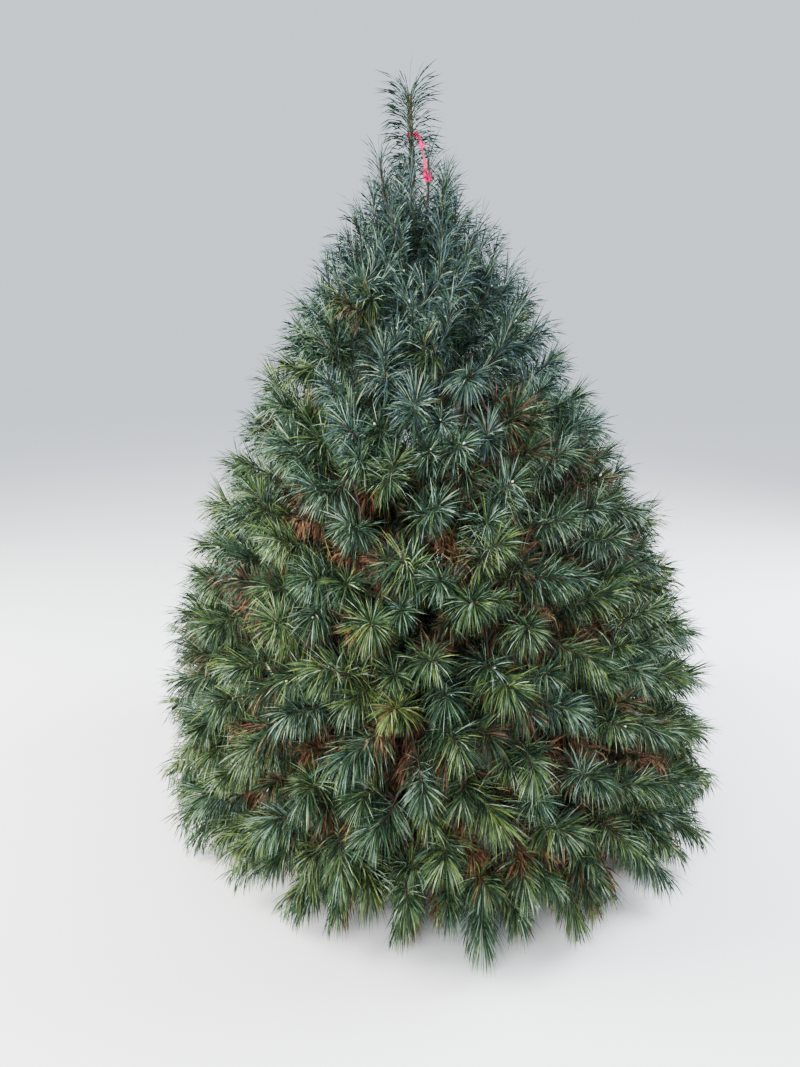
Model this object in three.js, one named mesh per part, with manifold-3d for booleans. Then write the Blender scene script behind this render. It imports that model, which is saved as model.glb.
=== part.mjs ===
// A young eastern white pine, grown in a field and sheared to a broad cone.
// A straight trunk with yearly whorls of boughs carries one mass of foliage at each bough's tip.
// Millimetres, +Z up, origin in the middle of the flat cut at ground level.

import * as THREE from "three";
import { mergeVertices } from "three/addons/utils/BufferGeometryUtils.js";
import Module from "manifold-3d";

const wasm = await Module();
wasm.setup();

// Whole tree
const BUD_HEIGHT = 2262; // end bud of this year's leader
const LEAN = 0.049; // the axis moves this far towards -X for each unit of height
const GROUND_GAP = 6; // lowest needle tip above the ground
const SEAT_GAP = 0.3; // between two solids that touch on the real tree
const LEADER_GAP = 0.7; // the leader leans, and the cut under it is level
const LIMB_GAP = 1.5; // between a limb and the foliage that passes it
const GOLDEN_ANGLE = Math.PI * (3 - Math.sqrt(5));
const UP = new THREE.Vector3(0, 0, 1);

// Outline of the crown, needle tips included
const CROWN_RADIUS = 933;
const CROWN_CLOSES = 2350; // height at which the sheared cone would close
const CROWN_BULGE = 2.28; // a higher power keeps the cone's foot steep for longer
const CROWN_TAPER = 1.49;
const LEADER_REACH = 104; // needles stand out this far round the leader

// Trunk
const TRUNK_TOP = 2000;
const TRUNK_FOOT_RADIUS = 41;
const TRUNK_TOP_RADIUS = 8;
const FLARE_RADIUS = 21; // what the root flare adds at the ground
const FLARE_HEIGHT = 48;
const COLLAR_RADIUS = 3; // swelling where a whorl leaves the trunk
const COLLAR_HEIGHT = 22;

// Whorls, from the ground up
const BOUGHS_IN_WHORL = [6, 6, 5, 4, 4];
const SHOOTS_IN_CREST = [4, 4]; // whorls so young that their foliage starts at the trunk
const TOP_HEART = { height: 1960, radius: 104 }; // the last whorl's upright shoots
const LEADER_HEART = 2195;
const TRUNK_CLEARANCE = 18; // of the top whorl's needles from the middle of the trunk
const FIRST_WHORL = 130;
const YEARLY_GROWTH = 283;
const FIRST_HEART = 225; // height of the middle of the lowest masses
const HEART_RISE = 350;
const HEART_RISE_LOSS = 11; // each year's masses stand a little closer to the last
const BOUGH_FOOT_RADIUS = 0.3; // share of the trunk's radius at the whorl
const BOUGH_TAPER = 0.62; // radius left at a bough's tip
const BARE_SHARE = 0.45; // share of the crown's radius where boughs carry no needles

// Foliage
const NEEDLE = 108; // length of a spray of needles
const SHORTEST_NEEDLE = 30;
const SHOOT_SPACING = 182; // between neighbouring shoots on the sheared surface
const CREST_SPACING = 122;
const CREST_STARTS = 1600;
const CREST_INNER = 0.5; // every third shoot of the open crest stands this far in
const HEM_HEIGHT = 95; // lowest shoots
const HIGHEST_SHOOTS = 1900; // above this only upright shoots carry needles
const CORE_DEPTH = 120; // shade core's distance under the outline
const CORE_GAP = 6; // between the cores of neighbouring masses
const SPACE_GAP = 1; // between a mass and the edge of its own space
const TWIG_RADIUS = 4.5;
const TUFT_RADIUS = 36; // the needles' crowded feet round a bud
const TUFT_BACK = 20;
const TUFT_FRONT = 34;
const TUFT_SIDES = 3; // a tuft has three sprays of needles on each side
const TUFT_TURN = (2 * Math.PI) / TUFT_SIDES;
const TUFT_LEANS = [1.3, 1, 0.42]; // of a side's sprays, from the back one to the front one
const UPRIGHT_LEAN = 0.95;
const TIP_LEAN = 0.35;
const NEEDLE_DROOP = 0.1;
const STEM_TAPER = 0.3; // share of a shoot's radius lost by its tip
const HEM_FEET = 48; // no tuft of the lowest shoots sits nearer the ground

// Each spray varies by three numbers of its own
const BACK_SPRAY = 0;
const MIDDLE_SPRAY = 3;
const FRONT_SPRAY = 6;
const SPRAY_TRAITS = 20;
const SITE_TRAITS = 50;

const boughWhorls = BOUGHS_IN_WHORL.length;
const allWhorls = [...BOUGHS_IN_WHORL, ...SHOOTS_IN_CREST];
const topWhorl = allWhorls.length - 1;

// The same number between 0 and 1 for the same pair every time: the seed of all that varies.
function chance(item, trait) {
  const wave = Math.sin(item * 127.1 + trait * 311.7) * 43758.5453;
  return wave - Math.floor(wave);
}

// The crown's radius at a height above the ground.
function crownRadius(height) {
  const cone = Math.max(0, 1 - (Math.max(height, 0) / CROWN_CLOSES) ** CROWN_BULGE);
  return Math.max(CROWN_RADIUS * cone ** CROWN_TAPER, height < BUD_HEIGHT ? LEADER_REACH : 0);
}

// A place given by its direction, distance and height round the leaning axis.
function place(azimuth, radius, height) {
  const x = radius * Math.cos(azimuth) - LEAN * height;
  return new THREE.Vector3(x, radius * Math.sin(azimuth), height);
}

// A direction that points outwards at an azimuth and rises by an angle.
function outward(azimuth, rise) {
  const flat = Math.cos(rise);
  return new THREE.Vector3(flat * Math.cos(azimuth), flat * Math.sin(azimuth), Math.sin(rise));
}

// Shoots droop a little at the hem and stand nearly upright at the top.
function shootRise(height) {
  return THREE.MathUtils.degToRad(-11 + 86 * Math.min(height / TRUNK_TOP, 1));
}

function whorlHeight(whorl) {
  return FIRST_WHORL + YEARLY_GROWTH * whorl;
}

function heartHeight(whorl) {
  return FIRST_HEART + whorl * (HEART_RISE - HEART_RISE_LOSS * whorl);
}

function trunkRadius(height) {
  const taper = 1 - height / TRUNK_TOP;
  const flare = FLARE_RADIUS * Math.exp(-height / FLARE_HEIGHT);
  const nearest = Math.max(0, Math.round((height - FIRST_WHORL) / YEARLY_GROWTH));
  const fromWhorl = (height - whorlHeight(nearest)) / COLLAR_HEIGHT;
  const collar = COLLAR_RADIUS * taper * Math.exp(-fromWhorl * fromWhorl);
  return TRUNK_TOP_RADIUS + (TRUNK_FOOT_RADIUS - TRUNK_TOP_RADIUS) * taper + flare + collar;
}

// Solids and meshes

function solidOf(geometry) {
  const bare = geometry.clone();
  bare.deleteAttribute("normal");
  bare.deleteAttribute("uv");
  const merged = mergeVertices(bare, 1e-3);
  const vertProperties = merged.attributes.position.array;
  const triVerts = new Uint32Array(merged.index.array);
  return new wasm.Manifold(new wasm.Mesh({ numProp: 3, vertProperties, triVerts }));
}

function geometryOf(solid) {
  const mesh = solid.getMesh();
  const geometry = new THREE.BufferGeometry();
  geometry.setAttribute("position", new THREE.BufferAttribute(mesh.vertProperties, 3));
  geometry.setIndex(new THREE.BufferAttribute(mesh.triVerts, 1));
  geometry.computeVertexNormals();
  return geometry;
}

// The solid without loose scraps or sealed hollows.
function largestBody(solid) {
  const bodies = solid.decompose();
  return bodies.reduce((largest, body) => (body.volume() > largest.volume() ? body : largest));
}

function join(solids) {
  return solids.reduce((whole, solid) => whole.add(solid));
}

// A pair of unit vectors across an axis, right-handed with it, the first square to a reference.
function across(axis, reference = UP) {
  const side = new THREE.Vector3().crossVectors(reference, axis).normalize();
  return [side, new THREE.Vector3().crossVectors(axis, side)];
}

// A tapering limb: a cylinder bent along a curve, with a radius for each share of its length.
function limb(curve, radiusAt, sides, rings) {
  const geometry = new THREE.CylinderGeometry(1, 1, 1, sides, rings);
  const position = geometry.attributes.position;
  for (let i = 0; i < position.count; i++) {
    const share = position.getY(i) + 0.5;
    const [side, other] = across(curve.getTangent(share));
    const radius = radiusAt(share);
    const point = curve.getPoint(share);
    point.addScaledVector(side, -position.getX(i) * radius);
    point.addScaledVector(other, position.getZ(i) * radius);
    position.setXYZ(i, point.x, point.y, point.z);
  }
  return solidOf(geometry);
}

// The trunk keeps its rings level, so that its foot is one flat cut. Rings crowd towards the flare.
function trunk(extra) {
  const geometry = new THREE.CylinderGeometry(1, 1, 1, 10, 26);
  geometry.rotateX(Math.PI / 2);
  const position = geometry.attributes.position;
  for (let i = 0; i < position.count; i++) {
    const height = TRUNK_TOP * (position.getZ(i) + 0.5) ** 1.35;
    const radius = trunkRadius(height) + extra;
    position.setXYZ(i, position.getX(i) * radius - LEAN * height, position.getY(i) * radius, height);
  }
  return solidOf(geometry);
}

// The masses of one whorl of boughs, or of the young whorl above them, each round its own heart.
function whorlSites(whorl) {
  const count = allWhorls[whorl];
  const height = heartHeight(whorl);
  const reach = crownRadius(height);
  const hasBough = whorl < boughWhorls;
  const bare = hasBough ? BARE_SHARE * reach : trunkRadius(whorlHeight(whorl));
  return Array.from({ length: count }, (_, k) => {
    const azimuth = whorl * GOLDEN_ANGLE + (2 * Math.PI * (k + 0.16 * chance(whorl, k))) / count;
    const name = `w${whorl + 1}_${k + 1}`;
    if (whorl === topWhorl) {
      return { name, whorl, azimuth, heart: place(azimuth, TOP_HEART.radius, TOP_HEART.height) };
    }
    const depth = (reach - CORE_DEPTH - bare) / 2;
    const tip = place(azimuth, bare, height - (hasBough ? 30 : 0));
    const heart = place(azimuth, bare + depth, height);
    const breadth = new THREE.Vector3(depth, (0.9 * Math.PI * reach) / count, HEART_RISE / 2);
    return { name, whorl, azimuth, hasBough, tip, heart, breadth };
  });
}

// The bough's line leaves the trunk's middle and swings up to its tip.
function boughCurve(site) {
  const foot = place(0, 0, whorlHeight(site.whorl));
  const bend = foot.clone().lerp(site.tip, 0.55);
  bend.z -= 0.22 * (site.tip.z - foot.z);
  return new THREE.QuadraticBezierCurve3(foot, bend, site.tip.clone());
}

function boughRadius(site, share) {
  const foot = BOUGH_FOOT_RADIUS * trunkRadius(whorlHeight(site.whorl)) + 1.5;
  return foot * (1 - (1 - BOUGH_TAPER) * share);
}

function bough(site, extra) {
  const curve = boughCurve(site);
  curve.v2.addScaledVector(curve.getTangent(1), extra);
  return limb(curve, (share) => boughRadius(site, share) + extra, 6, 3);
}

// The space round a centre: all that is nearer to it than to its neighbours, above the ground.
function spaceRound(centre, neighbours, gap) {
  const planes = [{ normal: UP.clone().negate(), offset: -GROUND_GAP }];
  for (const other of neighbours) {
    const apart = other.distanceTo(centre);
    if (apart === 0) continue;
    const normal = other.clone().sub(centre).divideScalar(apart);
    planes.push({ normal, offset: normal.dot(centre) + apart / 2 - gap });
  }
  return planes;
}

// How far one can go from a point in a direction before leaving a space.
function room(space, from, direction) {
  let far = Infinity;
  for (const { normal, offset } of space) {
    const left = offset - normal.dot(from);
    if (left < 0) return 0;
    const pace = normal.dot(direction);
    if (pace > 0) far = Math.min(far, left / pace);
  }
  return far;
}

// How far one can go from a mass's heart before coming within the core's depth of the outline or the bare inside.
function roomUnderOutline(site, direction) {
  const inner = BARE_SHARE * crownRadius(site.heart.z);
  const step = 6;
  const point = site.heart.clone();
  let far = -step;
  let isInside = true;
  while (isInside) {
    far += step;
    point.addScaledVector(direction, step);
    const radius = Math.hypot(point.x + LEAN * point.z, point.y);
    isInside = radius > inner && crownRadius(point.z) - radius > CORE_DEPTH && point.z > HEM_HEIGHT - 20;
  }
  return far;
}

// The dark heart of a dense mass: a block of a few faces, pressed lumpily into the space that the mass has.
function core(site) {
  const geometry = new THREE.BoxGeometry(2, 2, 2, 1, 4, 3);
  const position = geometry.attributes.position;
  const radial = outward(site.azimuth, 0);
  const sideways = new THREE.Vector3().crossVectors(UP, radial);
  for (let i = 0; i < position.count; i++) {
    const corner = new THREE.Vector3().fromBufferAttribute(position, i);
    const lump = 1 - 0.16 * chance(corner.x + 3 * corner.y, corner.z + 7 * site.azimuth);
    corner.multiply(site.breadth);
    const direction = radial.clone().multiplyScalar(corner.x);
    direction.addScaledVector(sideways, corner.y).addScaledVector(UP, corner.z).normalize();
    const far = Math.min(room(site.space, site.heart, direction) - CORE_GAP, roomUnderOutline(site, direction));
    const point = site.heart.clone().addScaledVector(direction, far * lump);
    position.setXYZ(i, point.x, point.y, point.z);
  }
  return solidOf(geometry);
}

// The mass's stem carries on from its bough's tip, or leaves the trunk, and swings up towards the outline.
function stemCurve(site) {
  const end = site.heart.clone().lerp(site.tip, -0.55);
  end.z += 20;
  if (site.hasBough) {
    const line = boughCurve(site).getTangent(1);
    const start = site.tip.clone().addScaledVector(line, SEAT_GAP);
    const bend = start.clone().addScaledVector(line, start.distanceTo(end) / 2);
    return new THREE.QuadraticBezierCurve3(start, bend, end);
  }
  const start = place(0, 0, whorlHeight(site.whorl));
  const bend = start.clone().lerp(end, 0.5);
  bend.z -= 25;
  return new THREE.QuadraticBezierCurve3(start, bend, end);
}

// An upright shoot of the top whorl leaves the trunk and turns straight up.
function uprightCurve(site) {
  const start = place(0, 0, whorlHeight(site.whorl));
  const bend = place(site.azimuth, TOP_HEART.radius, whorlHeight(site.whorl) + 45);
  const end = place(site.azimuth, TOP_HEART.radius + 6, 2040 + 45 * chance(site.azimuth, SITE_TRAITS));
  return new THREE.QuadraticBezierCurve3(start, bend, end);
}

function sprayLength(item, trait) {
  return NEEDLE * (0.84 + 0.16 * chance(item, trait));
}

// Where a spray's tip is: it leans out from the shoot's line, droops, and stops short of the space's edge.
function sprayTip(space, from, axis, reference, angle, lean, length) {
  const [side, other] = across(axis, reference);
  const direction = axis.clone().multiplyScalar(Math.cos(lean));
  direction.addScaledVector(side, Math.sin(lean) * Math.cos(angle));
  direction.addScaledVector(other, Math.sin(lean) * Math.sin(angle));
  direction.z -= NEEDLE_DROOP;
  direction.normalize();
  const reach = Math.min(length, room(space, from, direction));
  return reach < SHORTEST_NEEDLE ? null : from.clone().addScaledVector(direction, reach);
}

// A twig through a row of rings, each turned half a side from the last.
// A spray of needles is drawn out of each face that has a tip to go to.
function twig(rings, apex, reference, tipFor) {
  const points = [];
  const faces = [];
  const spray = (a, b, c, tip) => {
    if (!tip) {
      faces.push(a, b, c);
      return;
    }
    const end = points.push(tip) - 1;
    faces.push(a, b, end, b, c, end, c, a, end);
  };
  rings.forEach(({ centre, axis, radius }, level) => {
    const [side, other] = across(axis, reference);
    for (let k = 0; k < TUFT_SIDES; k++) {
      const angle = TUFT_TURN * (k + level / 2);
      const point = centre.clone().addScaledVector(side, radius * Math.cos(angle));
      points.push(point.addScaledVector(other, radius * Math.sin(angle)));
    }
  });
  const top = points.push(apex) - 1;
  faces.push(0, 2, 1);
  rings.forEach((_, level) => {
    const isLast = level === rings.length - 1;
    for (let k = 0; k < TUFT_SIDES; k++) {
      const here = level * TUFT_SIDES + k;
      const next = level * TUFT_SIDES + ((k + 1) % TUFT_SIDES);
      const turn = k + level / 2 + 0.5;
      if (isLast) {
        spray(here, next, top, tipFor(level, turn, FRONT_SPRAY));
      } else {
        spray(here, next, here + TUFT_SIDES, tipFor(level, turn, BACK_SPRAY));
        spray(next, next + TUFT_SIDES, here + TUFT_SIDES, tipFor(level, turn + 0.5, MIDDLE_SPRAY));
      }
    }
  });
  const geometry = new THREE.BufferGeometry().setFromPoints(points);
  geometry.setIndex(faces);
  return solidOf(geometry);
}

// One shoot: a twig from the stem, and the tuft of sprays round its bud. Null where it would leave the space.
function shoot(space, cell, root, foot, axis, item) {
  const bud = foot.clone().addScaledVector(axis, TUFT_FRONT);
  const neck = foot.clone().addScaledVector(axis, -TUFT_BACK);
  if ([root, neck, bud].some((point) => room(space, point, axis) < 14)) return null;
  const along = neck.clone().sub(root).normalize();
  const rings = [
    { centre: root, axis: along, radius: TWIG_RADIUS },
    { centre: neck, axis: along.clone().add(axis).normalize(), radius: 1.4 * TWIG_RADIUS },
    { centre: foot, axis, radius: TUFT_RADIUS },
  ];
  return twig(rings, bud, UP, (level, turn, spray) => {
    if (level === 0) return null;
    const trait = SPRAY_TRAITS * turn + spray;
    const lean = TUFT_LEANS[spray / MIDDLE_SPRAY] + 0.2 * (chance(item, trait) - 0.5);
    const angle = TUFT_TURN * turn + 0.5 * (chance(item, trait + 1) - 0.5);
    return sprayTip(cell, foot, axis, UP, angle, lean, sprayLength(item, trait + 2));
  });
}

// The feet of all shoots: a spiral up the sheared surface, each turned by the golden angle from the last.
function shootFeet() {
  const feet = [];
  let height = HEM_HEIGHT;
  while (height < HIGHEST_SHOOTS) {
    const item = feet.length;
    const isCrest = height > CREST_STARTS;
    const radius = crownRadius(height) * (isCrest && item % 3 === 0 ? CREST_INNER : 1);
    const slope = (crownRadius(height - 1) - crownRadius(height + 1)) / 2;
    const spacing = isCrest ? CREST_SPACING : SHOOT_SPACING;
    const azimuth = item * GOLDEN_ANGLE;
    const axis = outward(azimuth + 0.3 * (chance(item, SITE_TRAITS) - 0.5), shootRise(height));
    const reach = 0.82 * NEEDLE + 14 * chance(item, SITE_TRAITS + 1);
    const foot = place(azimuth, radius, height).addScaledVector(axis, -reach);
    foot.z = Math.max(foot.z, HEM_FEET);
    feet.push({ item, axis, foot });
    height += spacing ** 2 / (2 * Math.PI * radius * Math.hypot(1, slope));
  }
  return feet;
}

// The point of the stem from which a twig runs forward to a foot.
function twigRoot(curve, foot) {
  let best = curve.getPoint(0.1);
  let least = Infinity;
  for (let share = 0.1; share <= 0.96; share += 0.05) {
    const point = curve.getPoint(share);
    const reach = foot.clone().sub(point);
    const cost = reach.length() * (1.7 - reach.normalize().dot(curve.getTangent(share)));
    if (cost < least) {
      least = cost;
      best = point;
    }
  }
  return best;
}

// One mass of foliage: the stem, the dark core where the crown is dense, and every shoot that has room.
function foliage(site, limbs, trunkSeat) {
  const curve = stemCurve(site);
  const thick = site.hasBough ? boughRadius(site, 1) : 5;
  const stem = limb(curve, (share) => thick * (1 - 0.45 * share), 3, 4);
  const parts = [site.hasBough ? stem : largestBody(stem.subtract(trunkSeat))];
  if (site.hasBough) parts.push(core(site).subtract(limbs));
  for (const { item, axis, foot, cell } of site.feet) {
    const made = shoot(site.space, cell, twigRoot(curve, foot), foot, axis, item);
    if (made && made.intersect(limbs).isEmpty()) parts.push(made);
  }
  return largestBody(join(parts));
}

// An upright shoot, needled in tiers from a share of its length up to its end bud.
function uprightShoot(site, curve, radius, firstNeedles, tiers, item) {
  const reference = outward(site.azimuth, 0);
  const step = (0.96 - firstNeedles) / tiers;
  const shares = [0, ...Array.from({ length: tiers + 1 }, (_, k) => firstNeedles + step * k)];
  const rings = shares.map((share) => ({
    centre: curve.getPoint(share),
    axis: curve.getTangent(share),
    radius: radius * (1 - STEM_TAPER * share),
  }));
  return twig(rings, curve.getPoint(1), reference, (level, turn, spray) => {
    if (level === 0) return null;
    const { centre, axis } = rings[level];
    const trait = SPRAY_TRAITS * turn + spray;
    const lean = (level > tiers ? TIP_LEAN : UPRIGHT_LEAN) + 0.3 * (chance(item, trait) - 0.5);
    const angle = TUFT_TURN * turn + 0.4 * (chance(item, trait + 1) - 0.5);
    return sprayTip(site.space, centre, axis, reference, angle, lean, sprayLength(item, trait + 2));
  });
}

// Assembly

const bark = new THREE.MeshStandardMaterial({ color: 0x6a5d50, roughness: 0.9, metalness: 0 });
const youngBark = new THREE.MeshStandardMaterial({ color: 0x7a6650, roughness: 0.85, metalness: 0 });
const needles = new THREE.MeshStandardMaterial({ color: 0x3f6648, roughness: 0.6, metalness: 0 });

const tree = new THREE.Group();

function add(name, solid, material) {
  const mesh = new THREE.Mesh(geometryOf(solid), material);
  mesh.name = name;
  tree.add(mesh);
}

const sites = allWhorls.flatMap((_, whorl) => whorlSites(whorl));
const leader = { name: "leader", azimuth: 0, heart: place(0, 0, LEADER_HEART) };
const everySite = [...sites, leader];
const hearts = everySite.map((site) => site.heart);
for (const site of everySite) {
  site.space = spaceRound(site.heart, hearts, SPACE_GAP);
  site.feet = [];
}

const seats = shootFeet();
const feet = seats.map((seat) => seat.foot);
for (const seat of seats) {
  const distance = (site) => site.heart.distanceToSquared(seat.foot);
  const owner = everySite.reduce((near, site) => (distance(site) < distance(near) ? site : near));
  const near = feet.filter((foot) => foot.distanceTo(seat.foot) < 2 * NEEDLE);
  seat.cell = [...owner.space, ...spaceRound(seat.foot, near, SPACE_GAP)];
  owner.feet.push(seat);
}

const boughSites = sites.filter((site) => site.hasBough);
const uprightSites = sites.filter((site) => site.whorl === topWhorl);
for (const site of uprightSites) {
  const normal = outward(site.azimuth, 0).negate();
  site.space.push({ normal, offset: normal.dot(place(0, 0, TOP_HEART.height)) - TRUNK_CLEARANCE });
}
const leaderLine = new THREE.LineCurve3(place(0, 0, TRUNK_TOP + LEADER_GAP), place(0, 0, BUD_HEIGHT));
const trunkSeat = trunk(SEAT_GAP);
const limbs = join([trunk(LIMB_GAP), ...boughSites.map((site) => bough(site, LIMB_GAP))]);

add("trunk", trunk(0), bark);
for (const site of boughSites) {
  add(`bough_${site.name}`, largestBody(bough(site, 0).subtract(trunkSeat)), youngBark);
}
for (const site of sites.filter((site) => site.whorl < topWhorl)) {
  add(`foliage_${site.name}`, foliage(site, limbs, trunkSeat), needles);
}
uprightSites.forEach((site, k) => {
  const solid = uprightShoot(site, uprightCurve(site), 6, 0.22, 6, 800 + k);
  add(`foliage_${site.name}`, largestBody(solid.subtract(trunkSeat)), needles);
});
add("foliage_leader", uprightShoot(leader, leaderLine, TRUNK_TOP_RADIUS, 0.08, 7, 900), needles);

export default tree;
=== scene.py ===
"""Dresses a young eastern white pine, sheared to a broad cone.

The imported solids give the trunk, the boughs and one plain solid for each mass of foliage. The same rule grows
the stems, shoots and tufts again here, carries them on to finer twigs and hangs the needles on them.
Metres, +Z up, origin in the middle of the flat cut at ground level.
"""

from __future__ import annotations

import logging
import math
from collections.abc import Iterable, Sequence
from dataclasses import dataclass, field, replace
from enum import Enum, IntEnum

import bpy
import numpy as np
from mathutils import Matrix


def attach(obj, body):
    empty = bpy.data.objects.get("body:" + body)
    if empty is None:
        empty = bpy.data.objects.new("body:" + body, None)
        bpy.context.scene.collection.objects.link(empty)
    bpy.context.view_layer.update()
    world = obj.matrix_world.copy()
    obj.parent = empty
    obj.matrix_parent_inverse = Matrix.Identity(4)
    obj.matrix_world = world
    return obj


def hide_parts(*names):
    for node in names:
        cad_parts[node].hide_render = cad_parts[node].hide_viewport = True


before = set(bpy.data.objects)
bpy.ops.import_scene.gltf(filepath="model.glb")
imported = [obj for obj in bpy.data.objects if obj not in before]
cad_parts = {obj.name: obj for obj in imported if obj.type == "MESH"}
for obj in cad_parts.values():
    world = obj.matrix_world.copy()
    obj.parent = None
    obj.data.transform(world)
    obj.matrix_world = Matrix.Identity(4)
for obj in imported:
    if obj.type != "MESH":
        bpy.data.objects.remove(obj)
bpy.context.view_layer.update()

LOG = logging.getLogger("white_pine")
BODY = "root"
GOLDEN_ANGLE = math.pi * (3 - math.sqrt(5))
UP = np.array([0.0, 0.0, 1.0])
RIGHT = np.array([1.0, 0.0, 0.0])
# Directions that hardly any limb or needle runs along, to measure turns round it from.
TUBE_REFERENCE = RIGHT + 0.37 * UP
BLADE_REFERENCE = RIGHT + 0.2 * UP
TINY = 1e-6
# Where along a limb its shoots may leave it, and where along a lead shoot the side shoots may.
LIMB_SHARES = np.arange(0.1, 0.961, 0.05)
FORK_SHARES = np.arange(0.3, 0.81, 0.1)
# What makes a seeded number of an item and a trait, and one number of a cell's place.
ITEM_STEP = 127.1
TRAIT_STEP = 311.7
WAVE_HEIGHT = 43758.5453
ROW_STEP = 57
LAYER_STEP = 113
LIMB_LUMP = 0.006

Array = np.ndarray
Triple = tuple[float, float, float]
Colour = Triple
Triangle = tuple[int, int, int]
Material = bpy.types.Material
Socket = bpy.types.NodeSocket


class Slot(Enum):
    """The record's material slots."""

    BARK = "bark"
    YOUNG_BARK = "young_bark"
    NEEDLES = "needles"
    DEAD_NEEDLES = "dead_needles"
    RESIN = "resin"
    FLAGGING = "flagging"


class Trait(IntEnum):
    """Traits in which the members of a kind vary. Each kind has seeded numbers of its own for a trait."""

    SWERVE = 50
    UPRIGHT_TOP = 50
    DEPTH = 51
    PALETTE = 61
    SHADE = 62
    YELLOWING = 63
    DEATH = 64
    SWAY_X = 65
    SWAY_Y = 66
    SWAY_Z = 67
    CREST_EDGE = 68
    UPPER_EDGE = 69
    RESIN = 71
    RESIN_SIZE = 72


class Relief(IntEnum):
    """Fields of lumps in the bark, each with the seed that picks it."""

    PLATES = 3
    CHIPS = 5
    GRAIN = 7
    LIMBS = 9


class Numbered(Enum):
    """Named options that arrays hold as numbers, in the order in which they are listed."""

    @property
    def number(self) -> int:
        """Give the option's place in that order."""
        return list(type(self)).index(self)


class Tier(Numbered):
    """The three heights that the foliage is joined by, with the whorls in each."""

    LOW = (0, 1)
    MIDDLE = (2, 3)
    TOP = (4, 5, 6)


class Tint(Numbered):
    """The colours a spray of needles can have, with each one's dark and light shade."""

    # DEEP: near-black strands, partly old dark needles and partly painted shade for the shadowed gaps between
    # lit strands.
    DEEP = ((0.015, 0.031, 0.020), (0.036, 0.064, 0.044))
    BLUE = ((0.042, 0.090, 0.052), (0.090, 0.164, 0.098))
    # Painted sky light: a bluish cast for needles in the upper crown.
    SKYLIT_BLUE = ((0.048, 0.086, 0.089), (0.108, 0.165, 0.174))
    GREEN = ((0.054, 0.096, 0.040), (0.116, 0.182, 0.078))
    FRESH = ((0.115, 0.162, 0.044), (0.225, 0.285, 0.092))
    # Pale strands: partly the needles' whitish stomatal bands, partly a painted highlight.
    PALE = ((0.195, 0.255, 0.155), (0.350, 0.420, 0.285))
    # Bluish-white strands: a painted sky reflection on the needles.
    SKY_SHEEN = ((0.152, 0.232, 0.188), (0.280, 0.372, 0.318))
    STRAW = ((0.150, 0.100, 0.050), (0.310, 0.220, 0.115))
    RUST = ((0.066, 0.032, 0.022), (0.225, 0.112, 0.072))

    @property
    def is_dry(self) -> bool:
        """Say whether needles of this tint are dead or dying."""
        return self in (Tint.RUST, Tint.STRAW)


class Palette(Numbered):
    """Kinds of tuft, each with the share of its needles in every tint, in the order of Tint. Their dark shares
    paint the shade between strands, and their pale and bluish shares paint highlights.
    """

    BLUE = (0.44, 0.19, 0.02, 0.12, 0.01, 0.07, 0.15, 0.00, 0.00)
    GREEN = (0.42, 0.09, 0.00, 0.26, 0.08, 0.12, 0.03, 0.00, 0.00)
    FRESH = (0.34, 0.04, 0.00, 0.27, 0.20, 0.12, 0.03, 0.00, 0.00)
    # Painted sky light: the upper crown's tufts in bluer tints.
    UPPER = (0.30, 0.08, 0.33, 0.04, 0.00, 0.05, 0.20, 0.00, 0.00)
    # The crest's tufts are darker and bluer: painted shade of a top against the light, with painted sky light.
    CREST = (0.45, 0.06, 0.33, 0.03, 0.00, 0.02, 0.11, 0.00, 0.00)
    # Tufts inside the crown: painted shade in near-black strands, with real dead needles among them.
    SHADED = (0.50, 0.10, 0.00, 0.10, 0.01, 0.01, 0.01, 0.03, 0.24)
    YELLOWING = (0.20, 0.00, 0.00, 0.26, 0.34, 0.04, 0.00, 0.12, 0.04)
    SHEATH = (0.60, 0.00, 0.00, 0.05, 0.00, 0.00, 0.00, 0.05, 0.30)
    # The leader's needles, mostly in the painted-shade and painted sky-light tints.
    DARK = (0.66, 0.12, 0.16, 0.06, 0.00, 0.00, 0.00, 0.00, 0.00)
    DEAD = (0.06, 0.00, 0.00, 0.02, 0.00, 0.00, 0.00, 0.24, 0.68)


def chance(item: Array | float, trait: Array | float) -> Array:
    """Give the same number between 0 and 1 for the same pair every time.

    Args:
        item: Number of the thing that varies.
        trait: Number of the trait in which it varies.

    Returns:
        The seeded number, or an array of them.
    """
    wave = np.sin(np.asarray(item) * ITEM_STEP + np.asarray(trait) * TRAIT_STEP) * WAVE_HEIGHT
    return wave - np.floor(wave)


def unit(vectors: Array) -> Array:
    """Scale each vector to length 1."""
    return vectors / np.linalg.norm(vectors, axis=-1, keepdims=True)


def mix(first: Array, second: Array, share: Array | float) -> Array:
    """Blend two arrays by a share of the second."""
    return first + (second - first) * share


def column(values: Array) -> Array:
    """Turn a row of numbers into a column that scales vectors."""
    return np.asarray(values)[..., None]


def across(axis: Array, reference: Array = UP) -> tuple[Array, Array]:
    """Find a pair of unit vectors across an axis, right-handed with it.

    Args:
        axis: Unit vectors.
        reference: Vector that the first of the pair is square to.

    Returns:
        Both vectors for each axis.
    """
    side = unit(np.cross(np.broadcast_to(reference, axis.shape), axis))
    return side, np.cross(axis, side)


def outward(azimuth: Array, rise: Array) -> Array:
    """Point outwards at an azimuth and rise by an angle.

    Args:
        azimuth: Angle round the tree.
        rise: Angle above the level.

    Returns:
        Unit vectors.
    """
    flat = np.cos(rise)
    upward = np.sin(rise) * np.ones_like(azimuth)
    return np.stack([flat * np.cos(azimuth), flat * np.sin(azimuth), upward], axis=-1)


def leaning(azimuth: Array, tilt: float) -> Array:
    """Give unit vectors that stand up and lean outwards by a tilt."""
    return unit(np.stack([tilt * np.cos(azimuth), tilt * np.sin(azimuth), np.ones_like(azimuth)], axis=-1))


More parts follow.
